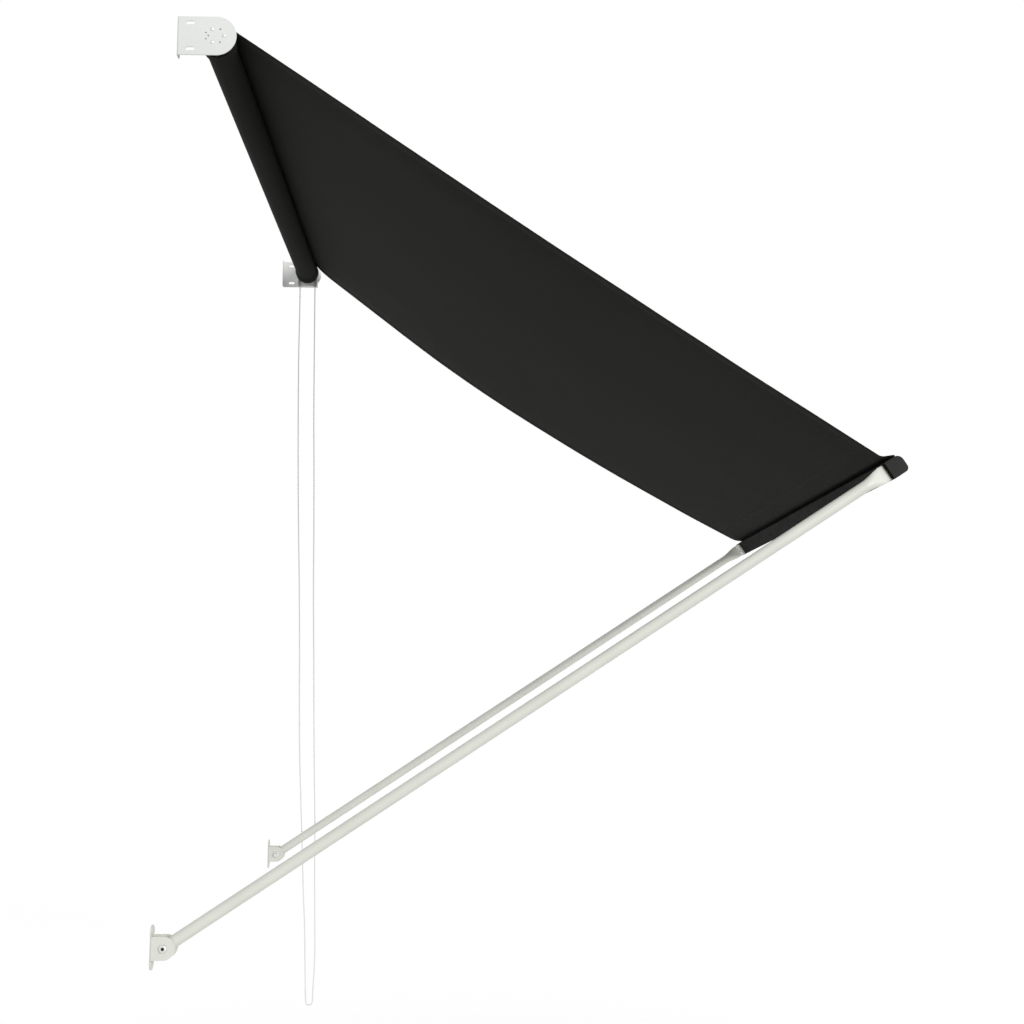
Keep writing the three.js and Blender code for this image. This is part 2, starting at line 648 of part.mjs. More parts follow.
for (const [name, side] of [["left", LEFT], ["right", RIGHT]]) {
  awning.add(piece(`${name}_roller_bracket`, rollerBracket(side), WHITE_COAT));
  RIVET_ANGLES.forEach((angle, i) => {
    rollerAxis.add(piece(`${name}_hub_rivet_${i + 1}`, hubRivet(side, angle), ZINC));
  });

  const armX = (side * ARM_SPAN) / 2;
  const foot = new THREE.Group();
  foot.position.set(armX, 0, -PIVOT_DROP);
  foot.add(piece(`${name}_arm_bracket`, armBracket(), ARM_COAT));
  awning.add(foot);

  const pivot = new THREE.Group();
  pivot.position.set(armX, -PIVOT_OUT, -PIVOT_DROP);
  pivot.add(piece(`${name}_pivot_bolt`, pivotBolt(side), ZINC));
  pivot.add(piece(`${name}_pivot_nut`, pivotNut(side), ZINC));
  for (const [place, way] of [["outer", side], ["inner", -side]]) {
    const seat = way * (ARM.r + GAP);
    const washer = ringX(WASHER.inner, WASHER.outer, seat, seat + way * WASHER.height, SMALL_SIDES);
    pivot.add(piece(`${name}_${place}_washer`, washer, NYLON));
  }
  awning.add(pivot);

  const armGroup = new THREE.Group();
  armGroup.position.set(armX, 0, 0);
  armGroup.add(piece(`${name}_arm`, arm(-side), ARM_COAT));
  const bush = ringX(PIVOT_HOLE, BUSH.outer, -BUSH.length / 2, BUSH.length / 2, SMALL_SIDES);
  armGroup.add(piece(`${name}_pivot_bush`, bush, NYLON));
  for (const [place, z] of [["upper", TAB.screwUp], ["lower", -TAB.screwUp]]) {
    armGroup.add(piece(`${name}_${place}_tab_screw`, tabScrew(-side * TAB.screwIn, z), ZINC));
  }
  swing.add(armGroup);
  swing.add(piece(`${name}_bar_cap`, barCap(side), DARK_PLASTIC));
}

rollerAxis.add(piece("idler_pin", idlerPin(), WHITE_PLASTIC));
rollerAxis.add(piece("clutch_base", clutchBase(), WHITE_PLASTIC));
const spring = ringX(SPRING.inner, SPRING.outer, SPRING.from, SPRING.to);
rollerAxis.add(piece("clutch_spring", spring, ZINC));
rollerAxis.add(piece("chain_over_wheel", chainOverWheel(), CHAIN_PLASTIC));
rollerAxis.add(piece("bead_chain", hangingChain(), CHAIN_PLASTIC));

const tube = ringX(TUBE.r - TUBE.wall, TUBE.r, TUBE.left, TUBE.right);
rollerAxis.add(piece("roller_tube", tube, GALVANISED));
rollerAxis.add(piece("idler_plug", idlerPlug(), WHITE_PLASTIC));
rollerAxis.add(piece("chain_wheel", chainWheel(), WHITE_PLASTIC));
rollerAxis.add(piece("fabric_roll", fabricRoll(), CANVAS));

awning.add(piece("canopy_fabric", canopy(), CANVAS));
swing.add(piece("front_bar", frontBar(), DARK_COAT));
const rodY = -ARM_LENGTH - GROOVE.out;
const rod = rodX(HEM_ROD.r, -HEM_ROD.half, HEM_ROD.half, SMALL_SIDES, rodY, GROOVE.up);
swing.add(piece("hem_rod", rod, DARK_PLASTIC));

export default awning;
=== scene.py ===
"""A wall-mounted drop-arm awning: finishes, canvas, bead chain and fine shapes around the CAD frame.

Metres, +Z up. The wall is the plane y = 0, and the awning stands out towards -Y. The chain hangs at +X.
"""
import json
import math

import bmesh
import bpy
from mathutils import Euler, Matrix, Vector, noise


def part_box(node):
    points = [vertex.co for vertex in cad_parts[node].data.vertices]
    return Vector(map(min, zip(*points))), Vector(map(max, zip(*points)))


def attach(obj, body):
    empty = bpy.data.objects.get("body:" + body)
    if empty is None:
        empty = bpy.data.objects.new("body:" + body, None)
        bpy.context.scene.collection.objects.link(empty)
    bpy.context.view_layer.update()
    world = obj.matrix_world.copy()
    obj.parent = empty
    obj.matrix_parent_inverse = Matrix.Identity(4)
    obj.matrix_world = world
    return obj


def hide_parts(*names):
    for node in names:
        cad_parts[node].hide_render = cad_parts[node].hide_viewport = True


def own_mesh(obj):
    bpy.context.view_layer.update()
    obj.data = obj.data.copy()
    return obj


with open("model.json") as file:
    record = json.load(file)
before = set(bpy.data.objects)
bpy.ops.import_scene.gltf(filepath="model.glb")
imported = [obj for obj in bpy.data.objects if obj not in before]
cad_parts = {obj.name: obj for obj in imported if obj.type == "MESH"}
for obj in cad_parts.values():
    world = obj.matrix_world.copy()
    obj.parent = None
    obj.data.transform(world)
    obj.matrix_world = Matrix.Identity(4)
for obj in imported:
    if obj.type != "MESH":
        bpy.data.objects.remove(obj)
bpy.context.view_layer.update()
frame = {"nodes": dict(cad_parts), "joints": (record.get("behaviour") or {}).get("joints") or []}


def ends_of(node):
    """Where a node of the frame starts and ends along X."""
    return [corner.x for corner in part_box(node)]


# Places and sizes taken from the frame
JOINTS = {joint["name"]: joint for joint in frame["joints"]}
ROLLER = Vector(JOINTS["roller_spin"]["pos_m"])
PIVOT = Vector(JOINTS["arm_swing"]["pos_m"])
HALF_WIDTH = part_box("right_roller_bracket")[1].x
ARM_X = sum(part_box("right_arm_bracket"), Vector()).x / 2
BRACKET_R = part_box("right_roller_bracket")[1].z
CLOTH_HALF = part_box("canopy_fabric")[1].x
TUBE_ENDS = ends_of("roller_tube")
BAR_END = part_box("front_bar")[1].x

# The arms at rest, and the frame that swings with them: its -Y runs along the arms
ARM_ANGLE = math.radians(33)
ARM_LENGTH = 1.5745
SWING = Matrix.Translation(PIVOT) @ Matrix.Rotation(-ARM_ANGLE, 4, "X")

# Sheet metal, the rounding of its edges and the clearance between pieces
SHEET = 0.0025
BEND_INNER = 0.0015
BEND_OUTER = BEND_INNER + SHEET
BEND_MIDDLE = BEND_INNER + SHEET / 2
BEND_LENGTH = BEND_MIDDLE * math.pi / 2
BEND_CUTS = 7
EDGE = 0.0004
GAP = 0.0003

# Roller brackets
FLANGE_WIDTH = 0.020
FLANGE_CORNER = 0.003
PLATE_SLOT = {"out": 0.025, "height": 0.026, "length": 0.017, "width": 0.0065}
FLANGE_SLOT = {"inset": 0.0115, "height": 0.021, "length": 0.014, "width": 0.0065}
RIVET_CIRCLE = 0.015
RIVET_ANGLES = (0, 120, 240)
SPARE_HOLES = [(0.015, 60, 0.002), (0.015, 180, 0.002), (0.015, 300, 0.002)]
SPARE_HOLES += [(0.0205, 162, 0.0015), (0.0205, 198, 0.0015)]
HUB_PLATE = 0.0027
# A rivet's two ends: radius, and distance outward from the face that each is set against
RIVET_TAIL = [(0, -0.0011), (0.0026, -0.0011), (0.003, -0.0008), (0.003, 0), (0.0019, 0)]
RIVET_HEAD = [(0.0019, 0), (0.0036, 0), (0.0036, 0.0004)]
RIVET_HEAD += [(0.0031, 0.0012), (0.0021, 0.0018), (0.0009, 0.0021), (0, 0.0021)]

# Roller
TUBE_R = 0.025
TUBE_WALL = 0.0012
IN_TUBE_R = 0.0234
ROLL_INNER = 0.0253
ROLL_OUTER = 0.0295
ROLL_END = 0.0333
ROLL_TAPER = 0.006
ROLL_TURNS = 5
ROLL_FILL = 0.86
ROLL_SWELL = 0.00018
ROLL_RAGGED = 0.0007
GUARD = {"outer": 0.033, "inner": 0.027, "half": 0.029, "bottom": 0.040, "lip": 0.729, "slot": 0.0075}
GUARD_HAIR = 0.00006
CHAIN_X = 0.73575
CHAIN_PITCH_R = 0.022
CHAIN_TOP = 0.041

# Bead chain
BEAD_R = 0.0022
BEAD_PITCH = 0.006
BEAD_SIDES = 10
BEAD_RINGS = 6
THREAD_R = 0.0005
THREAD_SIDES = 6

# Lower arm brackets and their pivots
EAR_R = 0.0205
EAR_OUT = -PIVOT.y
BASE_HALF = 0.015
BASE_STRAIGHT = 0.024
RELIEF = 0.0015
EAR_NOTCH = 0.0005
PIVOT_HOLE = 0.0042
BASE_HOLE = {"height": 0.0295, "r": 0.0032}
EAR_FACE = 0.015
BOLT_SEAT = EAR_FACE + GAP
BOLT_R = 0.0039
BOLT_CHAMFER = 0.0008
BOLT_PAST_NUT = 0.003
# The bolt's head: radius, and distance from its seat
BOLT_HEAD = [(0.0072, 0), (0.0075, 0.0004), (0.0075, 0.0014), (0.0070, 0.0028)]
BOLT_HEAD += [(0.0062, 0.0037), (0.0052, 0.0042), (0, 0.0042)]
SOCKET_FLATS = 0.0058
SOCKET_DEPTH = 0.0030
NUT_HEIGHT = 0.0065
NUT_FLATS = 0.013
NUT_CLEAR = 0.0001
NUT_EDGE = 0.0007

# Arms
ARM_R = 0.011
ARM_WALL = 0.0012
ARM_TAIL = 0.013
ARM_EDGE = 0.0003
ARM_BORE_DEPTH = 0.120
BUSH_HOLE = 0.006
FLAT_HALF = 0.0025
FLAT_HEIGHT = 0.0165
FLAT_SQUARE = 0.4
# How far before the arm's end, half its width and height there, and how square its section is
FLARE = [
    (0.054, 0.011, 0.011, 1.0),
    (0.046, 0.0103, 0.0115, 0.98),
    (0.036, 0.0081, 0.0129, 0.9),
    (0.029, 0.0062, 0.0144, 0.79),
    (0.023, 0.0046, 0.0154, 0.7),
    (0.018, 0.0034, 0.0161, 0.58),
    (0.014, FLAT_HALF, FLAT_HEIGHT, FLAT_SQUARE),
]
TAB_REACH = 0.036
TAB_STRAIGHT = 0.012
TAB_CORNER = 0.005
TAB_CORNER_CUT = 0.004
TAB_BEND = 0.0035
TAB_MIDDLE = TAB_BEND + FLAT_HALF
ARM_SIDES = 40
ARM_ROWS = 17
BEND_ROWS = 8
CORNER_ROWS = 6
SCREW_IN = 0.021
SCREW_UP = 0.0085
# The screw's head: radius, and distance from its top
SCREW_HEAD = [(0, 0), (0.0032, 0.0002), (0.0044, 0.0008), (0.005, 0.0018)]

# Front bar, in its section: outward from the arm's end, and upward
BAR_DEPTH = 0.0345
BAR_HALF = 0.018
BAR_WALL = 0.002
BAR_ROUND = {"corner": 0.0015, "top": 0.014, "bottom": 0.009}
GROOVE = {"out": 0.022, "up": 0.0122, "r": 0.0032, "slot": 0.0009}
GROOVE_WALL = 0.0018
BAR_EDGE = 0.0002

# Cloth. The plain cloth is thinner than the hems, by its weight
CLOTH_CLEAR = 0.0012
CLOTH_THICKNESS = 0.0016
PLAIN_WEIGHT = 0.55
SIDE_HEM = 0.022
FRONT_HEM = 0.970
HEM_STEP = 0.0004
TENT = 0.075
WRAP = math.radians(70)
WRAP_SINK = 0.0006
WRAP_ROWS = 12
FREE_ROWS = 72
TURN_ROWS = 7
COLUMNS = 48
COLUMNS_FROM = 0.03
HEM_COLUMNS = (0, 0.004, 0.012, SIDE_HEM - HEM_STEP, SIDE_HEM + HEM_STEP)
# Where the cloth goes at the bar, in the bar's section, and its bend's shape at the left and the right
HEM_BEND_LEFT = (-0.0015, 0.0305)
HEM_BEND_RIGHT = (0.0070, 0.0303)
BEND_FROM = (0.004, 0.012)
BEND_REACH = (0.3, 0.5)
HEM_END = (0.0216, 0.0196)
HEM_FRONT = ((0.0188, 0.0212), (0.0208, 0.0200), (0.0217, 0.0190))
HEM_TUCK = (0.022, 0.0165)
TUCK_INSET = 0.002
# How far the two side edges hang below a straight line, along the cloth from the roll to the bar
SAG_LEFT = [(0, 0), (0.10, 0.0010), (0.25, 0.0038), (0.50, 0.0070)]
SAG_LEFT += [(0.70, 0.0060), (0.86, 0.0027), (1, 0)]
SAG_RIGHT = [(0, 0), (0.03, 0.0095), (0.10, 0.0182), (0.18, 0.0262), (0.33, 0.0413), (0.45, 0.0457)]
SAG_RIGHT += [(0.60, 0.0400), (0.75, 0.0308), (0.88, 0.0172), (1, 0)]

# Stitching: a stitch's foot and its crown, along it and across it, and how far apart stitches are
STITCH_FOOT = [(-1, -1), (0, -1.2), (1, -1), (1, 1), (0, 1.2), (-1, 1)]
STITCH_CROWN = [(-0.6, -0.5), (0, -0.7), (0.6, -0.5), (0.6, 0.5), (0, 0.7), (-0.6, 0.5)]
STITCH_PITCH = 0.004

# Modelling: welding distance, a cutter's edges, how far one body goes into another, a hair's breadth
WELD = 1e-6
CUTTER_EDGE = 0.00005
OVERLAP = 0.001
TINY = 0.00001


# Materials

def new_material(name):
    material = bpy.data.materials.new(name)
    material.use_nodes = True
    tree = material.node_tree
    shader = tree.nodes["Principled BSDF"]
    return material, tree, shader


def feed(tree, node, values):
    """Gives inputs of a node, by name or by place, plain values or other nodes' outputs."""
    for key, value in values.items():
        if isinstance(value, bpy.types.NodeSocket):
            tree.links.new(value, node.inputs[key])
        else:
            node.inputs[key].default_value = value


def add_node(tree, kind, **values):
    """A new node with some of its inputs and its other settings."""
    node = tree.nodes.new(kind)
    for key, value in values.items():
        if key in node.inputs:
            feed(tree, node, {key: value})
        else:
            setattr(node, key, value)
    return node


# A Mix node's inputs for the factor and the two values, and its output, by their place in the node
MIX_PLACES = {"FLOAT": (0, 2, 3, 0), "RGBA": (0, 6, 7, 2)}


def mix(tree, kind, *values, blend="MIX"):
    node = add_node(tree, "ShaderNodeMix", data_type=kind, blend_type=blend)
    *places, output = MIX_PLACES[kind]
    feed(tree, node, dict(zip(places, values)))
    return node.outputs[output]


def noise_at(tree, scale, detail=3.0, stretch=(1, 1, 1)):
    """A noise texture over the piece's own coordinates, in features per metre."""
    place = tree.nodes.new("ShaderNodeTexCoord")
    mapping = add_node(tree, "ShaderNodeMapping", Vector=place.outputs["Object"], Scale=stretch)
    spot = mapping.outputs["Vector"]
    return add_node(tree, "ShaderNodeTexNoise", Vector=spot, Scale=scale, Detail=detail).outputs["Fac"]


def ramp_between(tree, value, low, high, ends=(0.3, 0.7)):
    """Colours or greys spread over a value, between two stops."""
    ramp = add_node(tree, "ShaderNodeValToRGB", Fac=value)
    for element, at, colour in zip(ramp.color_ramp.elements, ends, (low, high)):
        element.position = at
        element.color = (*colour, 1)
    return ramp.outputs["Color"]


def add_bump(tree, shader, height, distance, strength=1.0):
    bump = add_node(tree, "ShaderNodeBump", Strength=strength, Distance=distance, Height=height)
    feed(tree, shader, {"Normal": bump.outputs["Normal"]})


def shade(colour, factor):
    return tuple(channel * factor for channel in colour)


def coated(name, colour, roughness, grain, depth, spread=0.04, gloss=0.5):
    """A coated or moulded surface: faint blotches of colour, uneven gloss and a fine grain."""
    material, tree, shader = new_material(name)
    blotches = noise_at(tree, scale=9.0, detail=4.0)
    tint = ramp_between(tree, blotches, shade(colour, 1 - spread), shade(colour, 1 + spread))
    sheen = noise_at(tree, scale=60.0)
    rough = ramp_between(tree, sheen, (roughness - 0.06,) * 3, (roughness + 0.06,) * 3)
    feed(tree, shader, {"Base Color": tint, "Roughness": rough, "Specular IOR Level": gloss})
    add_bump(tree, shader, noise_at(tree, scale=grain, detail=2.0), depth)
    return material


# Painted shade: a dark colour put on marked faces, standing in for the shade inside a recess
SOCKET_SHADE = (0.05, 0.05, 0.045, 1)
# The angle that a wave texture of scale 1 turns through in a unit of length
WAVE_PHASE = 20


def plated(name, colour, roughness):
    """Plated steel with fine marks along X, and a painted shade where a piece's faces are marked for it.
    """
    material, tree, shader = new_material(name)
    marks = noise_at(tree, scale=700.0, detail=4.0, stretch=(0.06, 1, 1))
    tint = ramp_between(tree, noise_at(tree, scale=120.0), shade(colour, 0.92), shade(colour, 1.05))
    # Faces marked for painted shade take the dark colour in place of the shade in the recess
    painted_shade = add_node(tree, "ShaderNodeAttribute", attribute_name="painted_shade")
    tint_with_painted_shade = mix(tree, "RGBA", painted_shade.outputs["Fac"], tint, SOCKET_SHADE)
    rough = ramp_between(tree, marks, (roughness - 0.08,) * 3, (roughness + 0.12,) * 3)
    feed(tree, shader, {"Base Color": tint_with_painted_shade, "Roughness": rough, "Metallic": 1.0})
    add_bump(tree, shader, marks, distance=0.000006)
    return material


def canvas(name, colour, pitch):
    """Plain-woven canvas. Its threads follow the two directions of the piece's UV map, in metres."""
    material, tree, shader = new_material(name)
    place = tree.nodes.new("ShaderNodeTexCoord").outputs["UV"]
    scale = 2 * math.pi / (WAVE_PHASE * pitch)
    weave = add_node(tree, "ShaderNodeMath", operation="MULTIPLY")
    for i, direction in enumerate("XY"):
        wave = add_node(tree, "ShaderNodeTexWave", Vector=place, Scale=scale, Distortion=0.6, Detail=1.0)
        wave.bands_direction = direction
        feed(tree, weave, {i: wave.outputs["Fac"]})
    fade = noise_at(tree, scale=2.2, detail=5.0)
    slubs = noise_at(tree, scale=160.0)
    mottle = mix(tree, "FLOAT", 0.35, fade, slubs)
    tint = ramp_between(tree, mottle, shade(colour, 0.86), shade(colour, 1.12))
    threads = mix(tree, "RGBA", 0.5, tint, weave.outputs[0], blend="MULTIPLY")
    feed(tree, shader, {"Base Color": threads, "Roughness": 0.88, "Specular IOR Level": 0.12})
    add_bump(tree, shader, weave.outputs[0], distance=0.00015, strength=0.6)
    return material


WHITE_COAT = coated("white_coat", (0.80, 0.815, 0.79), 0.42, 900.0, 0.000004)
ARM_COAT = coated("arm_coat", (0.755, 0.765, 0.70), 0.40, 900.0, 0.000004)
WHITE_PLASTIC = coated("white_plastic", (0.74, 0.75, 0.73), 0.50, 2200.0, 0.000003, 0.02)
CHAIN_PLASTIC = coated("chain_plastic", (0.80, 0.81, 0.80), 0.32, 1500.0, 0.000003, 0.03)
NYLON = coated("nylon", (0.70, 0.70, 0.65), 0.60, 1800.0, 0.000004, 0.03)
DARK_COAT = coated("dark_coat", (0.0135, 0.0137, 0.0130), 0.66, 1100.0, 0.000006, 0.06, 0.03)
DARK_PLASTIC = coated("dark_plastic", (0.0265, 0.0267, 0.0255), 0.60, 1600.0, 0.000006, 0.05, 0.12)
THREAD = coated("thread", (0.040, 0.041, 0.037), 0.75, 2600.0, 0.00001, 0.1, 0.2)
ZINC = plated("zinc", (0.74, 0.745, 0.73), 0.38)
GALVANISED = plated("galvanised", (0.56, 0.58, 0.59), 0.38)
CANVAS = canvas("canvas", (0.0228, 0.0238, 0.0203), 0.0013)


# Shapes

def lerp(a, b, t):
    return a + (b - a) * t


def arc(centre, radius, start, end, steps=10):
    """Points on an arc in a plane, with its angles in degrees."""
    angles = [math.radians(start + (end - start) * i / steps) for i in range(steps + 1)]
    return [(centre[0] + radius * math.cos(a), centre[1] + radius * math.sin(a)) for a in angles]


def ring_of(centre, radius, steps=28):
    return arc(centre, radius, 0, 360, steps)[:-1]


def long_hole(centre, length, width, upright):
    """The outline of a slot with round ends."""
    reach = (length - width) / 2
    du, dv = (0, reach) if upright else (reach, 0)
    turn = 90 if upright else 0
    first = arc((centre[0] + du, centre[1] + dv), width / 2, turn - 90, turn + 90)
    last = arc((centre[0] - du, centre[1] - dv), width / 2, turn + 90, turn + 270)
    return first + last


def on_circle(radius, degrees):
    angle = math.radians(degrees)
    return radius * math.cos(angle), radius * math.sin(angle)


def slab(outline, holes, thickness, edge=EDGE):
    """A plate in the (u, v) plane from w = 0 to w = thickness, with rounded edges."""
    curve = bpy.data.curves.new("outline", "CURVE")
    curve.dimensions = "2D"
    curve.fill_mode = "BOTH"
    curve.extrude = thickness / 2 - edge
    curve.bevel_depth = edge
    curve.bevel_resolution = 1
    curve.offset = -edge
    for points in [outline, *holes]:
        spline = curve.splines.new("POLY")
        spline.points.add(len(points) - 1)
        spline.use_cyclic_u = True
        for point, (u, v) in zip(spline.points, points):
            point.co = (u, v, 0, 1)
    carrier = bpy.data.objects.new("outline", curve)
    mesh = bpy.data.meshes.new_from_object(carrier)
    body = bmesh.new()
    body.from_mesh(mesh)
    bpy.data.objects.remove(carrier)
    bpy.data.curves.remove(curve)
    bpy.data.meshes.remove(mesh)
    body.transform(Matrix.Translation((0, 0, thickness / 2)))
    bmesh.ops.remove_doubles(body, verts=body.verts, dist=WELD)
    return body


# Takes a plate's u, v and w to Y, Z and X
STAND = Matrix(((0, 0, 1, 0), (1, 0, 0, 0), (0, 1, 0, 0), (0, 0, 0, 1)))


def stood(body, start):
    """A plate stood across X, from a place along X."""
    body.transform(Matrix.Translation((start, 0, 0)) @ STAND)
    return body


def prism(outline, start, end):
    """An outline that stands across X, between two places along X."""
    return stood(slab(outline, [], end - start, CUTTER_EDGE), start)


def fold(u, w, line):
    """Where a point of a flat sheet goes when the sheet is bent a right angle beyond a line.

    u runs across the line and w from the inner face to the outer one. Returns the distance along the
    first leg and the distance behind its outer face.
    """
    if u <= line:
        return u, w - SHEET
    turn = min((u - line) / BEND_MIDDLE, math.pi / 2)
    rest = max(u - line - BEND_LENGTH, 0)
    along = line + (BEND_INNER + w) * math.sin(turn)
    return along, (BEND_INNER + w) * math.cos(turn) - BEND_OUTER - rest


def cut_bend(body, line, sign=1):
    """Cuts a flat sheet across a bend, so that it can follow the curve."""
    for i in range(BEND_CUTS + 1):
        at = sign * (line + BEND_LENGTH * i / BEND_CUTS)
        everything = [*body.verts, *body.edges, *body.faces]
        bmesh.ops.bisect_plane(body, geom=everything, dist=WELD, plane_co=(at, 0, 0), plane_no=(1, 0, 0))


def skin(body, first, second):
    """Faces between two rings of vertices, either of which may be a single point."""
    count = max(len(first), len(second))
    for i in range(count):
        j = (i + 1) % count
        corners = [first[i % len(first)], first[j % len(first)]]
        corners += [second[j % len(second)], second[i % len(second)]]
        body.faces.new(list(dict.fromkeys(corners)))


def skin_all(body, rings):
    for first, second in zip(rings, rings[1:]):
        skin(body, first, second)


def turned(profile, sides=40):
    """A turned piece about X from (radius, x) points, which end on the axis or close on themselves."""
    body = bmesh.new()
    rings = []
    for radius, x in profile:
        steps = sides if radius else 1
        spokes = [on_circle(radius, 360 * i / steps) for i in range(steps)]
        rings.append([body.verts.new((x, y, z)) for y, z in spokes])
    skin_all(body, rings)
    if profile[0][0]:
        skin(body, rings[-1], rings[0])
    return body


def moved(profile, x):
    """A profile of (radius, x) points, moved along X."""
    return [(radius, x + along) for radius, along in profile]


def merged(*bodies):
    """Several bodies as one mesh."""
    whole = bmesh.new()
    for body in bodies:
        mesh = bpy.data.meshes.new("part")
        body.to_mesh(mesh)
        body.free()
        whole.from_mesh(mesh)
        bpy.data.meshes.remove(mesh)
    return whole


def new_object(name, data):
    item = bpy.data.objects.new(name, data)
    bpy.context.scene.collection.objects.link(item)
    return item


def plain_object(name, body):
    bmesh.ops.remove_doubles(body, verts=body.verts, dist=WELD)
    bmesh.ops.recalc_face_normals(body, faces=body.faces)
    mesh = bpy.data.meshes.new(name)
    body.to_mesh(mesh)
    body.free()
    return new_object(name, mesh)


def cut(body, cutter):
    """A body with another body taken out of it."""
    target = plain_object("target", body)
    tool = plain_object("tool", cutter)
    boolean = target.modifiers.new("cut", "BOOLEAN")
    boolean.operation = "DIFFERENCE"
    boolean.solver = "EXACT"
    boolean.object = tool
    shown = target.evaluated_get(bpy.context.evaluated_depsgraph_get())
    result = bmesh.new()
    result.from_mesh(shown.data)
    for item in (target, tool):
        mesh = item.data
        bpy.data.objects.remove(item)
        bpy.data.meshes.remove(mesh)
    return result


def add_piece(name, body, material, rides_on, nodes, edge=0.0, sharp=35):
    """A finished piece from a bmesh that stands in the frame already."""
    piece = plain_object(name, body)
    mesh = piece.data
    mesh.shade_smooth()
    mesh.materials.append(material)
    if edge:
        bevel = piece.modifiers.new("edges", "BEVEL")
        bevel.width = edge
        bevel.segments = 2
        bevel.limit_method = "ANGLE"
        bevel.angle_limit = math.radians(sharp)
    else:
        mesh.set_sharp_from_angle(angle=math.radians(sharp))
    normals = piece.modifiers.new("normals", "WEIGHTED_NORMAL")
    normals.keep_sharp = True
    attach(piece, rides_on)
    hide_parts(*nodes)
    return piece


SIDES = (("left", -1), ("right", 1))


# Roller brackets: one sheet, cut flat and bent along the wall

def roller_bracket(side):
    front = -ROLLER.y + BRACKET_R
    line = front - BEND_OUTER
    far = line + BEND_LENGTH + FLANGE_WIDTH - BEND_OUTER
    hub = (BRACKET_R, 0)
    outline = arc(hub, BRACKET_R, 90, 270, 36)
    outline += arc((far - FLANGE_CORNER, -BRACKET_R + FLANGE_CORNER), FLANGE_CORNER, 270, 360, 6)
    outline += arc((far - FLANGE_CORNER, BRACKET_R - FLANGE_CORNER), FLANGE_CORNER, 0, 90, 6)
    holes = []
    flange_slot = line + BEND_LENGTH + FLANGE_SLOT["inset"] - BEND_OUTER
    for up in (-1, 1):
        slot, place = PLATE_SLOT, (front - PLATE_SLOT["out"], up * PLATE_SLOT["height"])
        holes.append(long_hole(place, slot["length"], slot["width"], False))
        slot, place = FLANGE_SLOT, (flange_slot, up * FLANGE_SLOT["height"])
        holes.append(long_hole(place, slot["length"], slot["width"], True))
    for circle, angle, radius in SPARE_HOLES:
        out, up = on_circle(circle, angle)
        holes.append(ring_of((hub[0] - out, up), radius, 16))
    body = slab(outline, holes, SHEET)
    cut_bend(body, line)
    for vert in body.verts:
        along, behind = fold(vert.co.x, vert.co.z, line)
        vert.co = (side * (HALF_WIDTH + behind), along - front, vert.co.y)
    return body


def hub_rivet(side, angle):
    """A rivet with a low domed head outside and a set tail inside."""
    out, up = on_circle(RIVET_CIRCLE, angle)
    head = HALF_WIDTH
    tail = HALF_WIDTH - SHEET - HUB_PLATE - 2 * GAP
    body = turned(moved(RIVET_TAIL, tail) + moved(RIVET_HEAD, head), 24)
    body.transform(Matrix.Translation(ROLLER + Vector((0, -out, up))) @ Matrix.Scale(side, 4, (1, 0, 0)))
    return body


for name, side in SIDES:
    node = f"{name}_roller_bracket"
    add_piece(f"{node}_sheet", roller_bracket(side), WHITE_COAT, "wall_frame", [node])
    for number, angle in enumerate(RIVET_ANGLES, 1):
        node = f"{name}_hub_rivet_{number}"
        add_piece(f"{node}_set", hub_rivet(side, angle), ZINC, "wall_frame", [node])


# Roller: tube, plug and idler pin, clutch base, chain wheel and wound cloth

def at_roller(body):
    body.transform(Matrix.Translation(ROLLER))
    return body


def tube_body():
    left, right = TUBE_ENDS
    inner = TUBE_R - TUBE_WALL
    return turned([(inner, left), (TUBE_R, left), (TUBE_R, right), (inner, right)], 72)


def idler_pin_body():
    back = -(HALF_WIDTH - SHEET - GAP)
    face = back + HUB_PLATE
    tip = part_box("idler_pin")[1].x
    flange, root, r, nose = 0.022, 0.0085, 0.007, 0.006
    fillet, chamfer = 0.0015, 0.001
    profile = [(0, back), (flange, back), (flange, face), (root, face), (r, face + fillet)]
    return turned(profile + [(r, tip - chamfer), (nose, tip), (0, tip)], 48)


def idler_plug_body():
    low, high = ends_of("idler_plug")
    end = TUBE_ENDS[0] - GAP
    bore, rim = 0.0073, 0.0265
    profile = [(bore, low), (rim, low), (rim, end), (IN_TUBE_R, end), (IN_TUBE_R, high), (bore, high)]
    return turned(profile, 64)


def clutch_base_body():
    """A back plate, the guard's arch and foot round the chain wheel, and the fixed shaft."""
    back = HALF_WIDTH - SHEET - GAP
    face = back - HUB_PLATE
    half, bottom, inner, lip = GUARD["half"], GUARD["bottom"], GUARD["inner"], GUARD["lip"]
    flank = math.degrees(math.acos(half / GUARD["outer"]))
    near, far = CHAIN_PITCH_R - GUARD["slot"] / 2, CHAIN_PITCH_R + GUARD["slot"] / 2
    over = arc((0, 0), GUARD["outer"], -flank, 180 + flank, 48)
    # The plate is a hair larger than the arch, so that no two of their faces lie in one plane
    grow = 1 + GUARD_HAIR / GUARD["outer"]
    outline = [(y * grow, z * grow) for y, z in ((-half, -bottom), (half, -bottom), *over)]
    plate = slab(outline, [], back - face)
    leg = math.degrees(math.acos(far / inner))
    under = arc((0, 0), inner, 180 + leg, -leg, 48)
    outline = [(far, -bottom), (half, -bottom), *over, (-half, -bottom), (-far, -bottom), *under]
    depth = 0.5 * (face + back) - lip
    arch = slab(outline, [], depth)
    spread = math.degrees(math.acos(near / inner))
    foot_top = arc((0, 0), inner, 360 - spread, 180 + spread, 20)
    foot = slab([(-near, -bottom), (near, -bottom), *foot_top], [], depth)
    r, nose, chamfer = 0.009, 0.0082, 0.001
    tip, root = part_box("clutch_base")[0].x, face + OVERLAP
    shaft = turned([(0, tip), (nose, tip), (r, tip + chamfer), (r, root), (0, root)], 40)
    return merged(stood(plate, face), stood(arch, lip), stood(foot, lip), shaft)


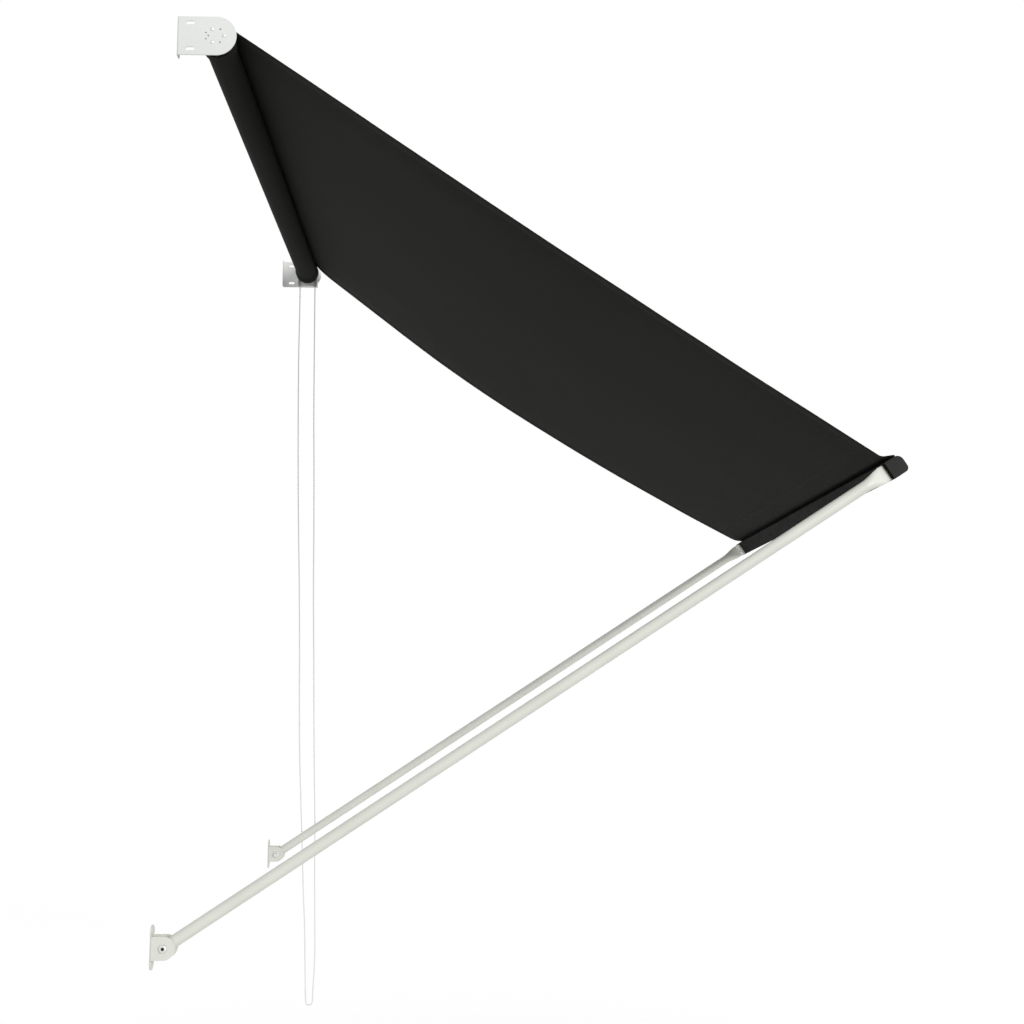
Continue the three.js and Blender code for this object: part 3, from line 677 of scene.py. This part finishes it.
def chain_wheel_body():
    """A barrel in the tube, with room for the spring, and a grooved rim that the beads run in."""
    low, high = ends_of("chain_wheel")
    start, step = GUARD["lip"], 0.7223
    lip, rim, root = 0.0025, 0.0255, 0.0195
    room, bore = 0.0112, 0.0093
    profile = [(room, low), (IN_TUBE_R, low), (IN_TUBE_R, start), (rim, start), (rim, start + lip)]
    profile += [(root, start + lip), (root, high - lip), (rim, high - lip), (rim, high), (bore, high)]
    return turned(profile + [(bore, step), (room, step)], 64)


def roll_body():
    """The wound cloth as one spiral sheet, with slightly uneven turns and ends."""
    steps = 48 * ROLL_TURNS
    hem = CLOTH_HALF - SIDE_HEM
    inner = hem - ROLL_TAPER
    stations = [-CLOTH_HALF, 0.5 * (-CLOTH_HALF - hem)]
    stations += [-hem + ROLL_TAPER * i / 3 for i in range(3)]
    stations += [-inner + 2 * inner * i / 16 for i in range(17)] + [-x for x in reversed(stations)]
    body = bmesh.new()
    rows = []
    for i in range(steps + 1):
        turns = ROLL_TURNS * i / steps
        angle = 2 * math.pi * turns
        row = []
        for x in stations:
            thin = min(max((hem - abs(x)) / ROLL_TAPER, 0), 1)
            pitch = (lerp(ROLL_END, ROLL_OUTER, thin) - ROLL_INNER) / (ROLL_TURNS + 1)
            low = ROLL_INNER + pitch * turns
            at = Vector((x * 5, math.cos(angle) * 2, math.sin(angle) * 2 + turns))
            swell = ROLL_SWELL * noise.noise(at)
            ragged = 0.0
            if abs(x) == CLOTH_HALF:
                ragged = ROLL_RAGGED * noise.noise(Vector((turns * 2.3, math.copysign(4, x), 0)))
            pair = []
            for radius in (low, low + ROLL_FILL * pitch):
                y, z = (radius + swell) * math.cos(angle), (radius + swell) * math.sin(angle)
                pair.append(body.verts.new((x - math.copysign(abs(ragged), x), y, z)))
            row.append(pair)
        rows.append(row)
    rings = [[low for low, _ in row] + [high for _, high in reversed(row)] for row in rows]
    skin_all(body, rings)
    for row in (rows[0], rows[-1]):
        for one, other in zip(row, row[1:]):
            body.faces.new([one[0], other[0], other[1], one[1]])
    layer = body.loops.layers.uv.new("UVMap")
    for face in body.faces:
        for loop in face.loops:
            place = loop.vert.co
            loop[layer].uv = (place.x, math.atan2(place.z, place.y) * ROLL_OUTER)
    return body


for node, finish, make, material, rides_on, slot, edge in (
    ("roller_tube", "drawn", tube_body, GALVANISED, "roller", "galvanised", 0.0003),
    ("idler_pin", "moulded", idler_pin_body, WHITE_PLASTIC, "wall_frame", "white_plastic", 0.0003),
    ("idler_plug", "moulded", idler_plug_body, WHITE_PLASTIC, "roller", "white_plastic", 0.0004),
    ("clutch_base", "moulded", clutch_base_body, WHITE_PLASTIC, "wall_frame", "white_plastic", 0),
    ("chain_wheel", "moulded", chain_wheel_body, WHITE_PLASTIC, "roller", "white_plastic", 0.0004),
    ("fabric_roll", "wound", roll_body, CANVAS, "roller", "canvas", 0),
):
    add_piece(f"{node}_{finish}", at_roller(make()), material, rides_on, [node], edge)


# Bead chain. Offsets along the hanging loop: outward from the roller's axis, and below it
CHAIN_ROUTE = [
    (-0.022, CHAIN_TOP), (-0.0218, 0.12), (-0.022, 0.26), (-0.02, 0.42), (-0.0165, 0.6),
    (-0.0115, 0.78), (-0.0065, 0.93), (-0.0025, 1.09), (0.001, 1.28), (0.0045, 1.41), (0.01, 1.53),
    (0.0165, 1.66), (0.0225, 1.79), (0.028, 1.89), (0.031, 1.98), (0.033, 2.05), (0.035, 2.0878),
    (0.0362, 2.0923), (0.0395, 2.0956), (0.044, 2.0968), (0.0485, 2.0956), (0.0518, 2.0923),
    (0.053, 2.0878), (0.0545, 2.045), (0.0575, 1.975), (0.056, 1.87), (0.053, 1.74), (0.051, 1.6),
    (0.0465, 1.45), (0.0425, 1.29), (0.039, 1.13), (0.0345, 0.94), (0.0325, 0.78), (0.0295, 0.6),
    (0.026, 0.44), (0.024, 0.28), (0.0225, 0.12), (0.022, CHAIN_TOP),
]


def between(a, b, low, high, t):
    return a.lerp(b, (t - low) / (high - low))


def smooth_route(points, steps=24):
    """A centripetal Catmull-Rom curve through points."""
    ends = [2 * points[0] - points[1], *points, 2 * points[-1] - points[-2]]
    route = []
    for four in zip(ends, ends[1:], ends[2:], ends[3:]):
        knots = [0.0]
        for p, q in zip(four, four[1:]):
            knots.append(knots[-1] + math.sqrt((q - p).length))
        for i in range(steps):
            t = knots[1] + (knots[2] - knots[1]) * i / steps
            a = [between(four[k], four[k + 1], knots[k], knots[k + 1], t) for k in range(3)]
            b = [between(a[k], a[k + 1], knots[k], knots[k + 2], t) for k in range(2)]
            route.append(between(*b, knots[1], knots[2], t))
    return [*route, points[-1]]


def spaced(route, pitch):
    """Points along a route at even steps of about the pitch, and the route's length."""
    reach = [0.0]
    for p, q in zip(route, route[1:]):
        reach.append(reach[-1] + (q - p).length)
    count = round(reach[-1] / pitch)
    points, k = [], 0
    for i in range(count + 1):
        target = reach[-1] * i / count
        while k < len(route) - 2 and reach[k + 1] < target:
            k += 1
        points.append(between(route[k], route[k + 1], reach[k], reach[k + 1], target))
    return points, reach[-1]


def bead_string(route, skipped=0):
    """Beads moulded on a thread along a route, without some beads at either end."""
    body = bmesh.new()
    centres, _ = spaced(route, BEAD_PITCH)
    for centre in centres[skipped:len(centres) - skipped]:
        rings = []
        for i in range(BEAD_RINGS + 1):
            drop, radius = on_circle(BEAD_R, 180 * i / BEAD_RINGS)
            steps = BEAD_SIDES if 0 < i < BEAD_RINGS else 1
            spokes = [on_circle(radius, 360 * k / steps) for k in range(steps)]
            rings.append([body.verts.new(centre + Vector((x, y, drop))) for x, y in spokes])
        skin_all(body, rings)
    line, _ = spaced(route, BEAD_PITCH / 2)
    rings = []
    for i, point in enumerate(line):
        along = (line[min(i + 1, len(line) - 1)] - line[max(i - 1, 0)]).normalized()
        side = Vector((1, 0, 0))
        across = along.cross(side)
        section = ring_of((0, 0), THREAD_R, THREAD_SIDES)
        rings.append([body.verts.new(point + side * u + across * v) for u, v in section])
    skin_all(body, rings)
    body.faces.new(rings[0])
    body.faces.new(rings[-1])
    return body


hanging = smooth_route([Vector((CHAIN_X, ROLLER.y - out, ROLLER.z - down)) for out, down in CHAIN_ROUTE])
around = arc((0, 0), CHAIN_PITCH_R, 180, 0, 48)
around = [(-CHAIN_PITCH_R, -CHAIN_TOP), *around, (CHAIN_PITCH_R, -CHAIN_TOP)]
over_wheel = [Vector((CHAIN_X, ROLLER.y - out, ROLLER.z + up)) for out, up in around]
wheel_beads = add_piece("chain_over_wheel_beads", bead_string(over_wheel, 1), CHAIN_PLASTIC, "wall_frame",
                        ["chain_over_wheel"], sharp=80)
chain = add_piece("bead_chain_beads", bead_string(hanging), CHAIN_PLASTIC, "wall_frame",
                  ["bead_chain"], sharp=80)
chain_path, chain_length = spaced(hanging, BEAD_PITCH / 2)


# Canopy: one sheet from the roll to the front bar's groove, hemmed along its sides and its front

def at_bar(out, up, x=0.0):
    """A point of the front bar's section, at rest."""
    return SWING @ Vector((x, -ARM_LENGTH - out, up))


def hem_bend(t):
    """The cloth's bend above the bar, from left (t = 0) to right."""
    out, up = [lerp(left, right, t) for left, right in zip(HEM_BEND_LEFT, HEM_BEND_RIGHT)]
    return at_bar(out, up)


def leaving(t):
    """Where the cloth leaves the roll, which is thicker at both ends: radius, angle and direction."""
    from_side = CLOTH_HALF * (1 - abs(2 * t - 1))
    inner = min(max((from_side - SIDE_HEM) / TENT, 0), 1)
    radius = lerp(ROLL_END, ROLL_OUTER, inner * inner * (3 - 2 * inner)) + CLOTH_CLEAR
    reach = hem_bend(t) - ROLLER
    lift = math.atan2(reach.z, reach.y) - math.acos(radius / math.hypot(reach.y, reach.z))
    normal = Vector((0, math.cos(lift), math.sin(lift)))
    return radius, lift, normal


def ripple(s, t):
    """How far the cloth stands off its smooth hang: unevenness, and a slow wave along the slack edge."""
    held = min(1, 7 * s, 7 * (1 - s))
    soft = 0.0016 * noise.noise(Vector((3.1 * t, 4.2 * s, 0.7)))
    fine = 0.0005 * noise.noise(Vector((9 * t, 14 * s, 3.3)))
    slack = 0.0007 * math.sin(2 * math.pi * 2.5 * s + 0.8) * math.exp(-(1 - t) / 0.06)
    return held * (soft + fine + slack)


def hang(table):
    """A smooth curve through a table of sags."""
    return smooth_route([Vector((s, sag, 0)) for s, sag in table])


def sag_at(curve, s):
    for p, q in zip(curve, curve[1:]):
        if s <= q.x:
            return lerp(p.y, q.y, (s - p.x) / (q.x - p.x))
    return 0.0


LEFT_HANG = hang(SAG_LEFT)
RIGHT_HANG = hang(SAG_RIGHT)


def cloth(s, t):
    """A point of the free cloth, from the roll (s = 0) to the front bend, and from left to right."""
    radius, _, normal = leaving(t)
    droop = lerp(sag_at(LEFT_HANG, s), sag_at(RIGHT_HANG, s), t)
    point = (ROLLER + radius * normal).lerp(hem_bend(t), s) - (droop - ripple(s, t)) * normal
    return Vector((lerp(-CLOTH_HALF, CLOTH_HALF, t), point.y, point.z))


def cloth_normal(s, t, step=0.002):
    along = cloth(s + step, t) - cloth(s - step, t)
    across = cloth(s, min(t + step, 1)) - cloth(s, max(t - step, 0))
    return along.cross(across).normalized()


def cloth_line(t):
    """The points of one line of threads along the cloth, with how thick the cloth is there."""
    x = lerp(-CLOTH_HALF, CLOTH_HALF, t)
    from_side = CLOTH_HALF - abs(x)
    plain = 1.0 if from_side < SIDE_HEM + HEM_STEP / 2 else PLAIN_WEIGHT
    points = []
    rest, lift, _ = leaving(t)
    bend = hem_bend(t)
    for i in range(WRAP_ROWS):
        angle = lift - WRAP * (1 - i / WRAP_ROWS)
        radius = rest - WRAP_SINK * (1 - i / WRAP_ROWS)
        points.append((ROLLER + radius * Vector((0, math.cos(angle), math.sin(angle))), plain))
    end = 1 - lerp(*BEND_FROM, t)
    stations = [end * i / FREE_ROWS for i in range(FREE_ROWS + 1)]
    stations = sorted(stations + [FRONT_HEM - HEM_STEP, FRONT_HEM + HEM_STEP])
    for s in stations:
        points.append((cloth(s, t), 1.0 if s > FRONT_HEM else plain))
    last = points[-1][0]
    onto = bend.lerp(at_bar(*HEM_END), lerp(*BEND_REACH, t))
    for i in range(1, TURN_ROWS + 1):
        k = i / TURN_ROWS
        points.append((last.lerp(bend, k).lerp(bend.lerp(onto, k), k), 1.0))
    for out, up in HEM_FRONT:
        points.append((at_bar(out, up), 1.0))
    line = [(Vector((x, point.y, point.z)), weight) for point, weight in points]
    return [*line, (at_bar(*HEM_TUCK, x * (BAR_END - TUCK_INSET) / CLOTH_HALF), 1.0)]


def canopy_body():
    """The sheet as a grid, with a UV map in metres, and the weight of each vertex for its thickness."""
    across = [-CLOTH_HALF + inset for inset in HEM_COLUMNS]
    inner = CLOTH_HALF - COLUMNS_FROM
    across += [-inner + 2 * inner * i / COLUMNS for i in range(COLUMNS + 1)]
    across += [CLOTH_HALF - inset for inset in reversed(HEM_COLUMNS)]
    body = bmesh.new()
    layer = body.loops.layers.uv.new("UVMap")
    columns, weights, places = [], [], {}
    for x in across:
        line = cloth_line((x + CLOTH_HALF) / (2 * CLOTH_HALF))
        column, run, before = [], 0.0, line[0][0]
        for point, weight in line:
            run += (point - before).length
            before = point
            vert = body.verts.new(point)
            places[vert] = (x, run)
            weights.append(weight)
            column.append(vert)
        columns.append(column)
    for first, second in zip(columns, columns[1:]):
        for k in range(len(first) - 1):
            face = body.faces.new([first[k], second[k], second[k + 1], first[k + 1]])
            for loop in face.loops:
                loop[layer].uv = places[loop.vert]
    return body, weights


def stitches(lines):
    """Short stitches along lines of (s, t, direction) places, on both faces of the cloth."""
    body = bmesh.new()
    half, width, rise, sink = 0.0014, 0.00035, 0.0003, 0.0004
    for line in lines:
        for s, t, along in line:
            normal = cloth_normal(s, t)
            across = along.cross(normal).normalized()
            for face in (-1, 1):
                middle = cloth(s, t) + face * normal * (CLOTH_THICKNESS / 2)
                rings = []
                for shape, off in ((STITCH_FOOT, -sink), (STITCH_CROWN, rise)):
                    spots = [middle + along * half * u + across * width * v for u, v in shape]
                    rings.append([body.verts.new(spot + face * normal * off) for spot in spots])
                skin(body, *rings)
                for ring in reversed(rings):
                    body.faces.new(ring)
    return body


def seam_lines():
    """Two rows of stitches along each side hem and two along the front hem."""
    lines = []
    width, length = 2 * CLOTH_HALF, (cloth(1, 0.5) - cloth(0, 0.5)).length
    inset, step = 0.0035, 0.001
    start, share = 0.012, 0.955
    count = round(share * length / STITCH_PITCH)
    for from_edge in (inset, SIDE_HEM - inset):
        for t in (from_edge / width, 1 - from_edge / width):
            row = []
            for i in range(count):
                s = start + share * i / count
                along = cloth(s + step, t) - cloth(s - step, t)
                row.append((s, t, along.normalized()))
            lines.append(row)
    short, rows = 0.05, (0.0025, 0.0055)
    count = round((width - short) / STITCH_PITCH)
    for past in rows:
        s = FRONT_HEM + past
        row = []
        for i in range(count):
            t = 0.5 + (i / count - 0.5) * (1 - short / width)
            along = cloth(s, t + step) - cloth(s, t - step)
            row.append((s, t, along.normalized()))
        lines.append(row)
    return lines


sheet_body, sheet_weights = canopy_body()
middle_line = [point for point, _ in cloth_line(0.5)]
canopy_mesh = bpy.data.meshes.new("canopy_cloth")
sheet_body.to_mesh(canopy_mesh)
sheet_body.free()
canopy_mesh.shade_smooth()
canopy_mesh.materials.append(CANVAS)
canopy = new_object("canopy_cloth", canopy_mesh)
thick = canopy.vertex_groups.new(name="thickness")
for index, weight in enumerate(sheet_weights):
    thick.add([index], weight, "REPLACE")
solid = canopy.modifiers.new("cloth", "SOLIDIFY")
solid.thickness = CLOTH_THICKNESS
solid.offset = 0
solid.vertex_group = "thickness"
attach(canopy, "wall_frame")
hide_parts("canopy_fabric")
seams = add_piece("canopy_stitching", stitches(seam_lines()), THREAD, "wall_frame",
                  ["canopy_fabric"])

# The canopy and its stitching each get a mesh of their own
for piece in (canopy, seams):
    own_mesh(piece)


# Lower arm brackets: one sheet each, with two ears bent out of the base

def arm_bracket(side):
    line = EAR_FACE - BEND_OUTER
    pivot = line + BEND_LENGTH + EAR_OUT - BEND_OUTER
    notch = line - EAR_NOTCH
    gap = EAR_R + RELIEF
    right = [(BASE_HALF, -gap), (notch, -gap), (notch, -EAR_R), *arc((pivot, 0), EAR_R, -90, 90, 32)]
    right += [(notch, EAR_R), (notch, gap), (BASE_HALF, gap)]
    outline = arc((0, -BASE_STRAIGHT), BASE_HALF, 180, 360, 24) + right
    outline += arc((0, BASE_STRAIGHT), BASE_HALF, 0, 180, 24) + [(-u, -v) for u, v in right]
    holes = [ring_of((way * pivot, 0), PIVOT_HOLE) for way in (-1, 1)]
    holes += [ring_of((0, way * BASE_HOLE["height"]), BASE_HOLE["r"]) for way in (-1, 1)]
    body = slab(outline, holes, SHEET)
    cut_bend(body, line)
    cut_bend(body, line, -1)
    for vert in body.verts:
        u, v, w = vert.co
        along, behind = fold(abs(u), w, line) if abs(v) < EAR_R + RELIEF / 2 else (abs(u), w - SHEET)
        vert.co = (side * ARM_X + math.copysign(along, u), behind, PIVOT.z + v)
    return body


def hexagon(flats):
    return ring_of((0, 0), flats / math.sqrt(3), 6)


def at_pivot(body, side):
    place = Matrix.Translation((side * ARM_X, PIVOT.y, PIVOT.z))
    body.transform(place @ Matrix.Scale(side, 4, (1, 0, 0)))
    return body


def pivot_bolt(side):
    """A button-headed bolt with a hexagon socket, whose inner faces are marked for painted shade; its
    head is at the outer ear.
    """
    end = -BOLT_SEAT - NUT_HEIGHT - BOLT_PAST_NUT
    profile = [(0, end), (BOLT_R - BOLT_CHAMFER, end), (BOLT_R, end + BOLT_CHAMFER), (BOLT_R, BOLT_SEAT)]
    profile += moved(BOLT_HEAD, BOLT_SEAT)
    top = profile[-1][1]
    body = cut(turned(profile), prism(hexagon(SOCKET_FLATS), top - SOCKET_DEPTH, top + 2 * OVERLAP))
    # Marks the faces inside the socket for painted shade, a dark colour standing in for the recess's
    # shade
    painted_shade = body.faces.layers.float.new("painted_shade")
    for face in body.faces:
        place = face.calc_center_median()
        inside = top - SOCKET_DEPTH - TINY < place.x < top - TINY
        face[painted_shade] = float(inside and math.hypot(place.y, place.z) < 0.6 * SOCKET_FLATS)
    return at_pivot(body, side)


def pivot_nut(side):
    body = slab(hexagon(NUT_FLATS), [ring_of((0, 0), BOLT_R + NUT_CLEAR)], NUT_HEIGHT, NUT_EDGE)
    return at_pivot(stood(body, -BOLT_SEAT - NUT_HEIGHT), side)


def pivot_washer(side, way):
    bore, r, height, edge = 0.0043, 0.009, 0.0009, 0.0002
    low = ARM_R + GAP
    high = low + height
    profile = [(bore, low), (r - edge, low), (r, low + edge)]
    profile += [(r, high - edge), (r - edge, high), (bore, high)]
    return at_pivot(turned(profile, 36), side * way)


for name, side in SIDES:
    node = f"{name}_arm_bracket"
    add_piece(f"{node}_sheet", arm_bracket(side), ARM_COAT, "wall_frame", [node])
    node = f"{name}_pivot_bolt"
    add_piece(f"{node}_turned", pivot_bolt(side), ZINC, "wall_frame", [node])
    node = f"{name}_pivot_nut"
    add_piece(f"{node}_hex", pivot_nut(side), ZINC, "wall_frame", [node])
    for place, way in (("outer", 1), ("inner", -1)):
        node = f"{name}_{place}_washer"
        add_piece(f"{node}_ring", pivot_washer(side, way), NYLON, "wall_frame", [node])


# Arms: a tube that flattens and turns in along the front bar's back

def arm_ring(body, centre, across, half_across, half_up, square):
    """One section of the arm: across is the direction of its thin side."""
    ring = []
    for i in range(ARM_SIDES):
        c, s = on_circle(1, 360 * i / ARM_SIDES)
        u = math.copysign(abs(c) ** square, c) * half_across
        v = math.copysign(abs(s) ** square, s) * half_up
        ring.append(body.verts.new(centre + across * u + Vector((0, 0, v))))
    return ring


def arm_body(side):
    end = ARM_LENGTH - GAP
    inward = Vector((-side, 0, 0))
    across = Vector((1, 0, 0))
    body = bmesh.new()

    def round_ring(out, radius):
        return arm_ring(body, Vector((0, -out, 0)), across, radius, radius, 1)

    rings = [round_ring(-ARM_TAIL, ARM_R - ARM_EDGE), round_ring(-ARM_TAIL + ARM_EDGE, ARM_R)]
    for i in range(1, ARM_ROWS):
        rings.append(round_ring(lerp(-ARM_TAIL, end - FLARE[0][0], i / ARM_ROWS), ARM_R))
    for back, half_across, half_up, square in FLARE:
        rings.append(arm_ring(body, Vector((0, back - end, 0)), across, half_across, half_up, square))
    corner = Vector((0, TAB_MIDDLE + FLAT_HALF - end, 0)) + inward * TAB_MIDDLE
    for i in range(BEND_ROWS + 1):
        turn = math.pi / 2 * i / BEND_ROWS
        outward = -inward * math.cos(turn) + Vector((0, -math.sin(turn), 0))
        flat = outward if side > 0 else -outward
        centre = corner + outward * TAB_MIDDLE
        rings.append(arm_ring(body, centre, flat, FLAT_HALF, FLAT_HEIGHT, FLAT_SQUARE))
    flat = Vector((0, -side, 0))
    turns = [math.pi / 2 * i / CORNER_ROWS for i in range(CORNER_ROWS + 1)]
    for from_end in [TAB_STRAIGHT, *(TAB_CORNER * (1 - math.sin(turn)) for turn in turns)]:
        short = TAB_CORNER - math.sqrt(max(TAB_CORNER ** 2 - max(TAB_CORNER - from_end, 0) ** 2, 0))
        height = FLAT_HEIGHT - min(short, TAB_CORNER_CUT)
        slim = FLAT_HALF - (ARM_EDGE if from_end < ARM_EDGE else 0)
        centre = Vector((0, FLAT_HALF - end, 0)) + inward * (TAB_REACH - from_end)
        rings.append(arm_ring(body, centre, flat, slim, height, FLAT_SQUARE))
    skin_all(body, rings)
    body.faces.new(rings[-1])
    inside = [round_ring(depth - ARM_TAIL, ARM_R - ARM_WALL) for depth in (0, ARM_BORE_DEPTH)]
    skin(body, rings[0], inside[0])
    skin(body, *inside)
    body.faces.new(inside[1])
    hole = turned([(0, -2 * ARM_R), (BUSH_HOLE, -2 * ARM_R), (BUSH_HOLE, 2 * ARM_R), (0, 2 * ARM_R)])
    body = cut(body, hole)
    body.transform(Matrix.Translation((side * ARM_X, 0, 0)))
    body.transform(SWING)
    return body


def tab_screw(side, up):
    """A pan-headed screw with a cross recess, through the arm's tab into the bar."""
    seat = ARM_LENGTH - 2 * FLAT_HALF - 2 * GAP
    r, height, length, point = 0.0024, 0.0028, 0.016, 0.004
    top, tip = seat - height, seat + length
    profile = moved(SCREW_HEAD, top)
    profile += [(profile[-1][0], seat), (r, seat), (r, tip - point), (0, tip)]
    reach, tip_half, root_half, depth = 0.0026, 0.00035, 0.0006, 0.0016
    wing = [(reach, -tip_half), (reach, tip_half), (root_half, root_half)]
    cross = []
    for c, s in ((1, 0), (0, 1), (-1, 0), (0, -1)):
        cross += [(c * u - s * v, s * u + c * v) for u, v in wing]
    body = cut(turned(profile, 28), prism(cross, top - OVERLAP, top + depth))
    body.transform(Matrix.Rotation(math.radians(-90), 4, "Z"))
    body.transform(Matrix.Translation((side * (ARM_X - SCREW_IN), 0, up)))
    body.transform(SWING)
    return body


for name, side in SIDES:
    node = f"{name}_arm"
    add_piece(f"{node}_drawn", arm_body(side), ARM_COAT, "swing_frame", [node])
    for place, up in (("upper", SCREW_UP), ("lower", -SCREW_UP)):
        node = f"{name}_{place}_tab_screw"
        add_piece(f"{node}_turned", tab_screw(side, up), ZINC, "swing_frame", [node])


# Front bar and its caps

def heading(way):
    return math.degrees(math.atan2(way.y, way.x))


def bar_outline(groove):
    """The bar's section, outward and upward, anticlockwise from its lower back corner."""
    corner, under, over = BAR_ROUND["corner"], BAR_ROUND["bottom"], BAR_ROUND["top"]
    points = arc((corner, -BAR_HALF + corner), corner, 180, 270, 4)
    points += arc((BAR_DEPTH - under, -BAR_HALF + under), under, 270, 360, 12)
    brow = (BAR_DEPTH - over, BAR_HALF - over)
    if groove:
        slot = GROOVE["slot"]
        right = math.degrees(math.acos((GROOVE["out"] + slot - brow[0]) / over))
        left = math.degrees(math.acos((GROOVE["out"] - slot - brow[0]) / over))
        mouth = math.degrees(math.acos(slot / GROOVE["r"]))
        middle = (GROOVE["out"], GROOVE["up"])
        points += arc(brow, over, 0, right, 14)
        points += arc(middle, GROOVE["r"], mouth, mouth - 360 + 2 * (90 - mouth), 24)
        points += arc(brow, over, left, 90, 2)
    else:
        points += arc(brow, over, 0, 90, 18)
    return points + arc((corner, BAR_HALF - corner), corner, 90, 180, 4)


def bar_cavity(inset):
    """The hollow inside the bar, drawn in from its outside, which goes round the groove."""
    ring = GROOVE["r"] + GROOVE_WALL + inset - BAR_WALL
    middle = Vector((GROOVE["out"], GROOVE["up"]))
    depth, half = BAR_DEPTH - inset, BAR_HALF - inset
    under, over = BAR_ROUND["bottom"] - inset, BAR_ROUND["top"] - inset
    brow = Vector((depth - over, half - over))
    apart = middle - brow
    reach = (over ** 2 - ring ** 2 + apart.length_squared) / (2 * apart.length)
    aside = math.sqrt(over ** 2 - reach ** 2)
    meet = brow + apart.normalized() * reach - apart.normalized().orthogonal() * aside
    top = middle + Vector((-math.sqrt(ring ** 2 - (half - middle.y) ** 2), half - middle.y))
    points = [(inset, -half)] + arc((depth - under, -half + under), under, 270, 360, 10)
    points += arc(brow, over, 0, heading(meet - brow), 10)
    points += arc(middle, ring, heading(meet - middle), heading(top - middle) - 360, 16)
    return points + [(inset, half)]


def bar_section(outline, holes, start, end, edge):
    body = slab(outline, holes, end - start, edge)
    lay = Matrix(((0, 0, 1, start), (-1, 0, 0, -ARM_LENGTH), (0, 1, 0, 0), (0, 0, 0, 1)))
    body.transform(SWING @ lay)
    return body


def cap_body(side):
    """A moulded cap: a plate with rounded edges, and a plug inside the bar."""
    start = BAR_END + GAP
    thick, edge, reach, plug_edge = 0.003, 0.0008, 0.014, 0.0004
    ends = sorted((side * start, side * (start + thick)))
    plate = bar_section(bar_outline(False), [], *ends, edge)
    ends = sorted((side * (start + OVERLAP), side * (start - reach)))
    plug = bar_section(bar_cavity(BAR_WALL + GAP), [], *ends, plug_edge)
    return merged(plate, plug)


bar = bar_section(bar_outline(True), [bar_cavity(BAR_WALL)], -BAR_END, BAR_END, BAR_EDGE)
add_piece("front_bar_extruded", bar, DARK_COAT, "swing_frame", ["front_bar"])
for name, side in SIDES:
    node = f"{name}_bar_cap"
    add_piece(f"{node}_moulded", cap_body(side), DARK_PLASTIC, "swing_frame", [node])

# CAD nodes that stay, nearly all of them hidden inside others
KEPT = {
    "clutch_spring": GALVANISED,
    "hem_rod": WHITE_PLASTIC,
    "left_pivot_bush": NYLON,
    "right_pivot_bush": NYLON,
}
for node, material in KEPT.items():
    mesh = frame["nodes"][node].data
    mesh.materials.clear()
    mesh.materials.append(material)


# Camera, fitted to the photograph

CAMERA_AT = Vector((-3.21997, -0.56021, -1.23716))
CAMERA_YAW = math.radians(1.765)
CAMERA_PITCH = math.radians(7.536)
CAMERA_LENS = 48.03
CAMERA_SENSOR = 36
CAMERA_SEES = 100


def add_camera():
    data = bpy.data.cameras.new("camera")
    data.lens = CAMERA_LENS
    data.sensor_width = CAMERA_SENSOR
    data.clip_end = CAMERA_SEES
    camera = new_object("camera", data)
    turn = Euler((math.pi / 2 + CAMERA_PITCH, 0, -math.pi / 2 - CAMERA_YAW))
    camera.matrix_world = Matrix.LocRotScale(CAMERA_AT, turn, None)
    bpy.context.scene.camera = camera


# Stage: a pale floor, a white surround and one soft lamp

FLOOR_Z = -2.16
FLOOR_HALF = 14
FLOOR_GLOW = 0.70
FLOOR_TAKES = (0.45, 0.45, 0.45, 1)
FLOOR_BOUNCE = (0.8, 0.8, 0.8, 1)
WHITE = (1, 1, 1, 1)
AMBIENT = 0.59
KEY_FROM = Vector((-0.79, -0.56, 0.25))
KEY_SPREAD = math.radians(35)
KEY_STRENGTH = 1.52


def direct_view(tree):
    """1 for what the camera sees, also in a mirror or through glass, and 0 for light on its way."""
    path = tree.nodes.new("ShaderNodeLightPath")
    total = path.outputs["Is Camera Ray"]
    for name in ("Is Glossy Ray", "Is Transmission Ray"):
        most = add_node(tree, "ShaderNodeMath", operation="MAXIMUM")
        feed(tree, most, {0: total, 1: path.outputs[name]})
        total = most.outputs[0]
    return total


def add_surround():
    world = bpy.data.worlds.new("surround")
    bpy.context.scene.world = world
    world.use_nodes = True
    tree = world.node_tree
    strength = mix(tree, "FLOAT", direct_view(tree), AMBIENT, 1.0)
    feed(tree, tree.nodes["Background"], {"Color": WHITE, "Strength": strength})


def add_floor():
    """A pale floor that shows white, and darker only in the object's shadow."""
    body = bmesh.new()
    corners = [(-1, -1), (1, -1), (1, 1), (-1, 1)]
    body.faces.new([body.verts.new((x * FLOOR_HALF, y * FLOOR_HALF, FLOOR_Z)) for x, y in corners])
    floor = plain_object("floor", body)
    material, tree, shader = new_material("floor")
    tree.nodes.remove(shader)
    glow = add_node(tree, "ShaderNodeEmission", Strength=FLOOR_GLOW, Color=WHITE)
    takes = add_node(tree, "ShaderNodeBsdfDiffuse", Color=FLOOR_TAKES)
    plain = add_node(tree, "ShaderNodeBsdfDiffuse", Color=FLOOR_BOUNCE)
    seen = tree.nodes.new("ShaderNodeAddShader")
    feed(tree, seen, {0: glow.outputs[0], 1: takes.outputs[0]})
    either = tree.nodes.new("ShaderNodeMixShader")
    feed(tree, either, {0: direct_view(tree), 1: plain.outputs[0], 2: seen.outputs[0]})
    feed(tree, tree.nodes["Material Output"], {"Surface": either.outputs[0]})
    floor.data.materials.append(material)


def add_key():
    """One broad, soft lamp from the camera's side and above, the same everywhere on the floor."""
    data = bpy.data.lights.new("key", "SUN")
    data.energy = KEY_STRENGTH
    data.angle = KEY_SPREAD
    lamp = new_object("key", data)
    lamp.rotation_euler = (-KEY_FROM).to_track_quat("-Z", "Y").to_euler()


add_camera()
add_surround()
add_floor()
add_key()
bpy.context.scene.view_settings.view_transform = "Standard"
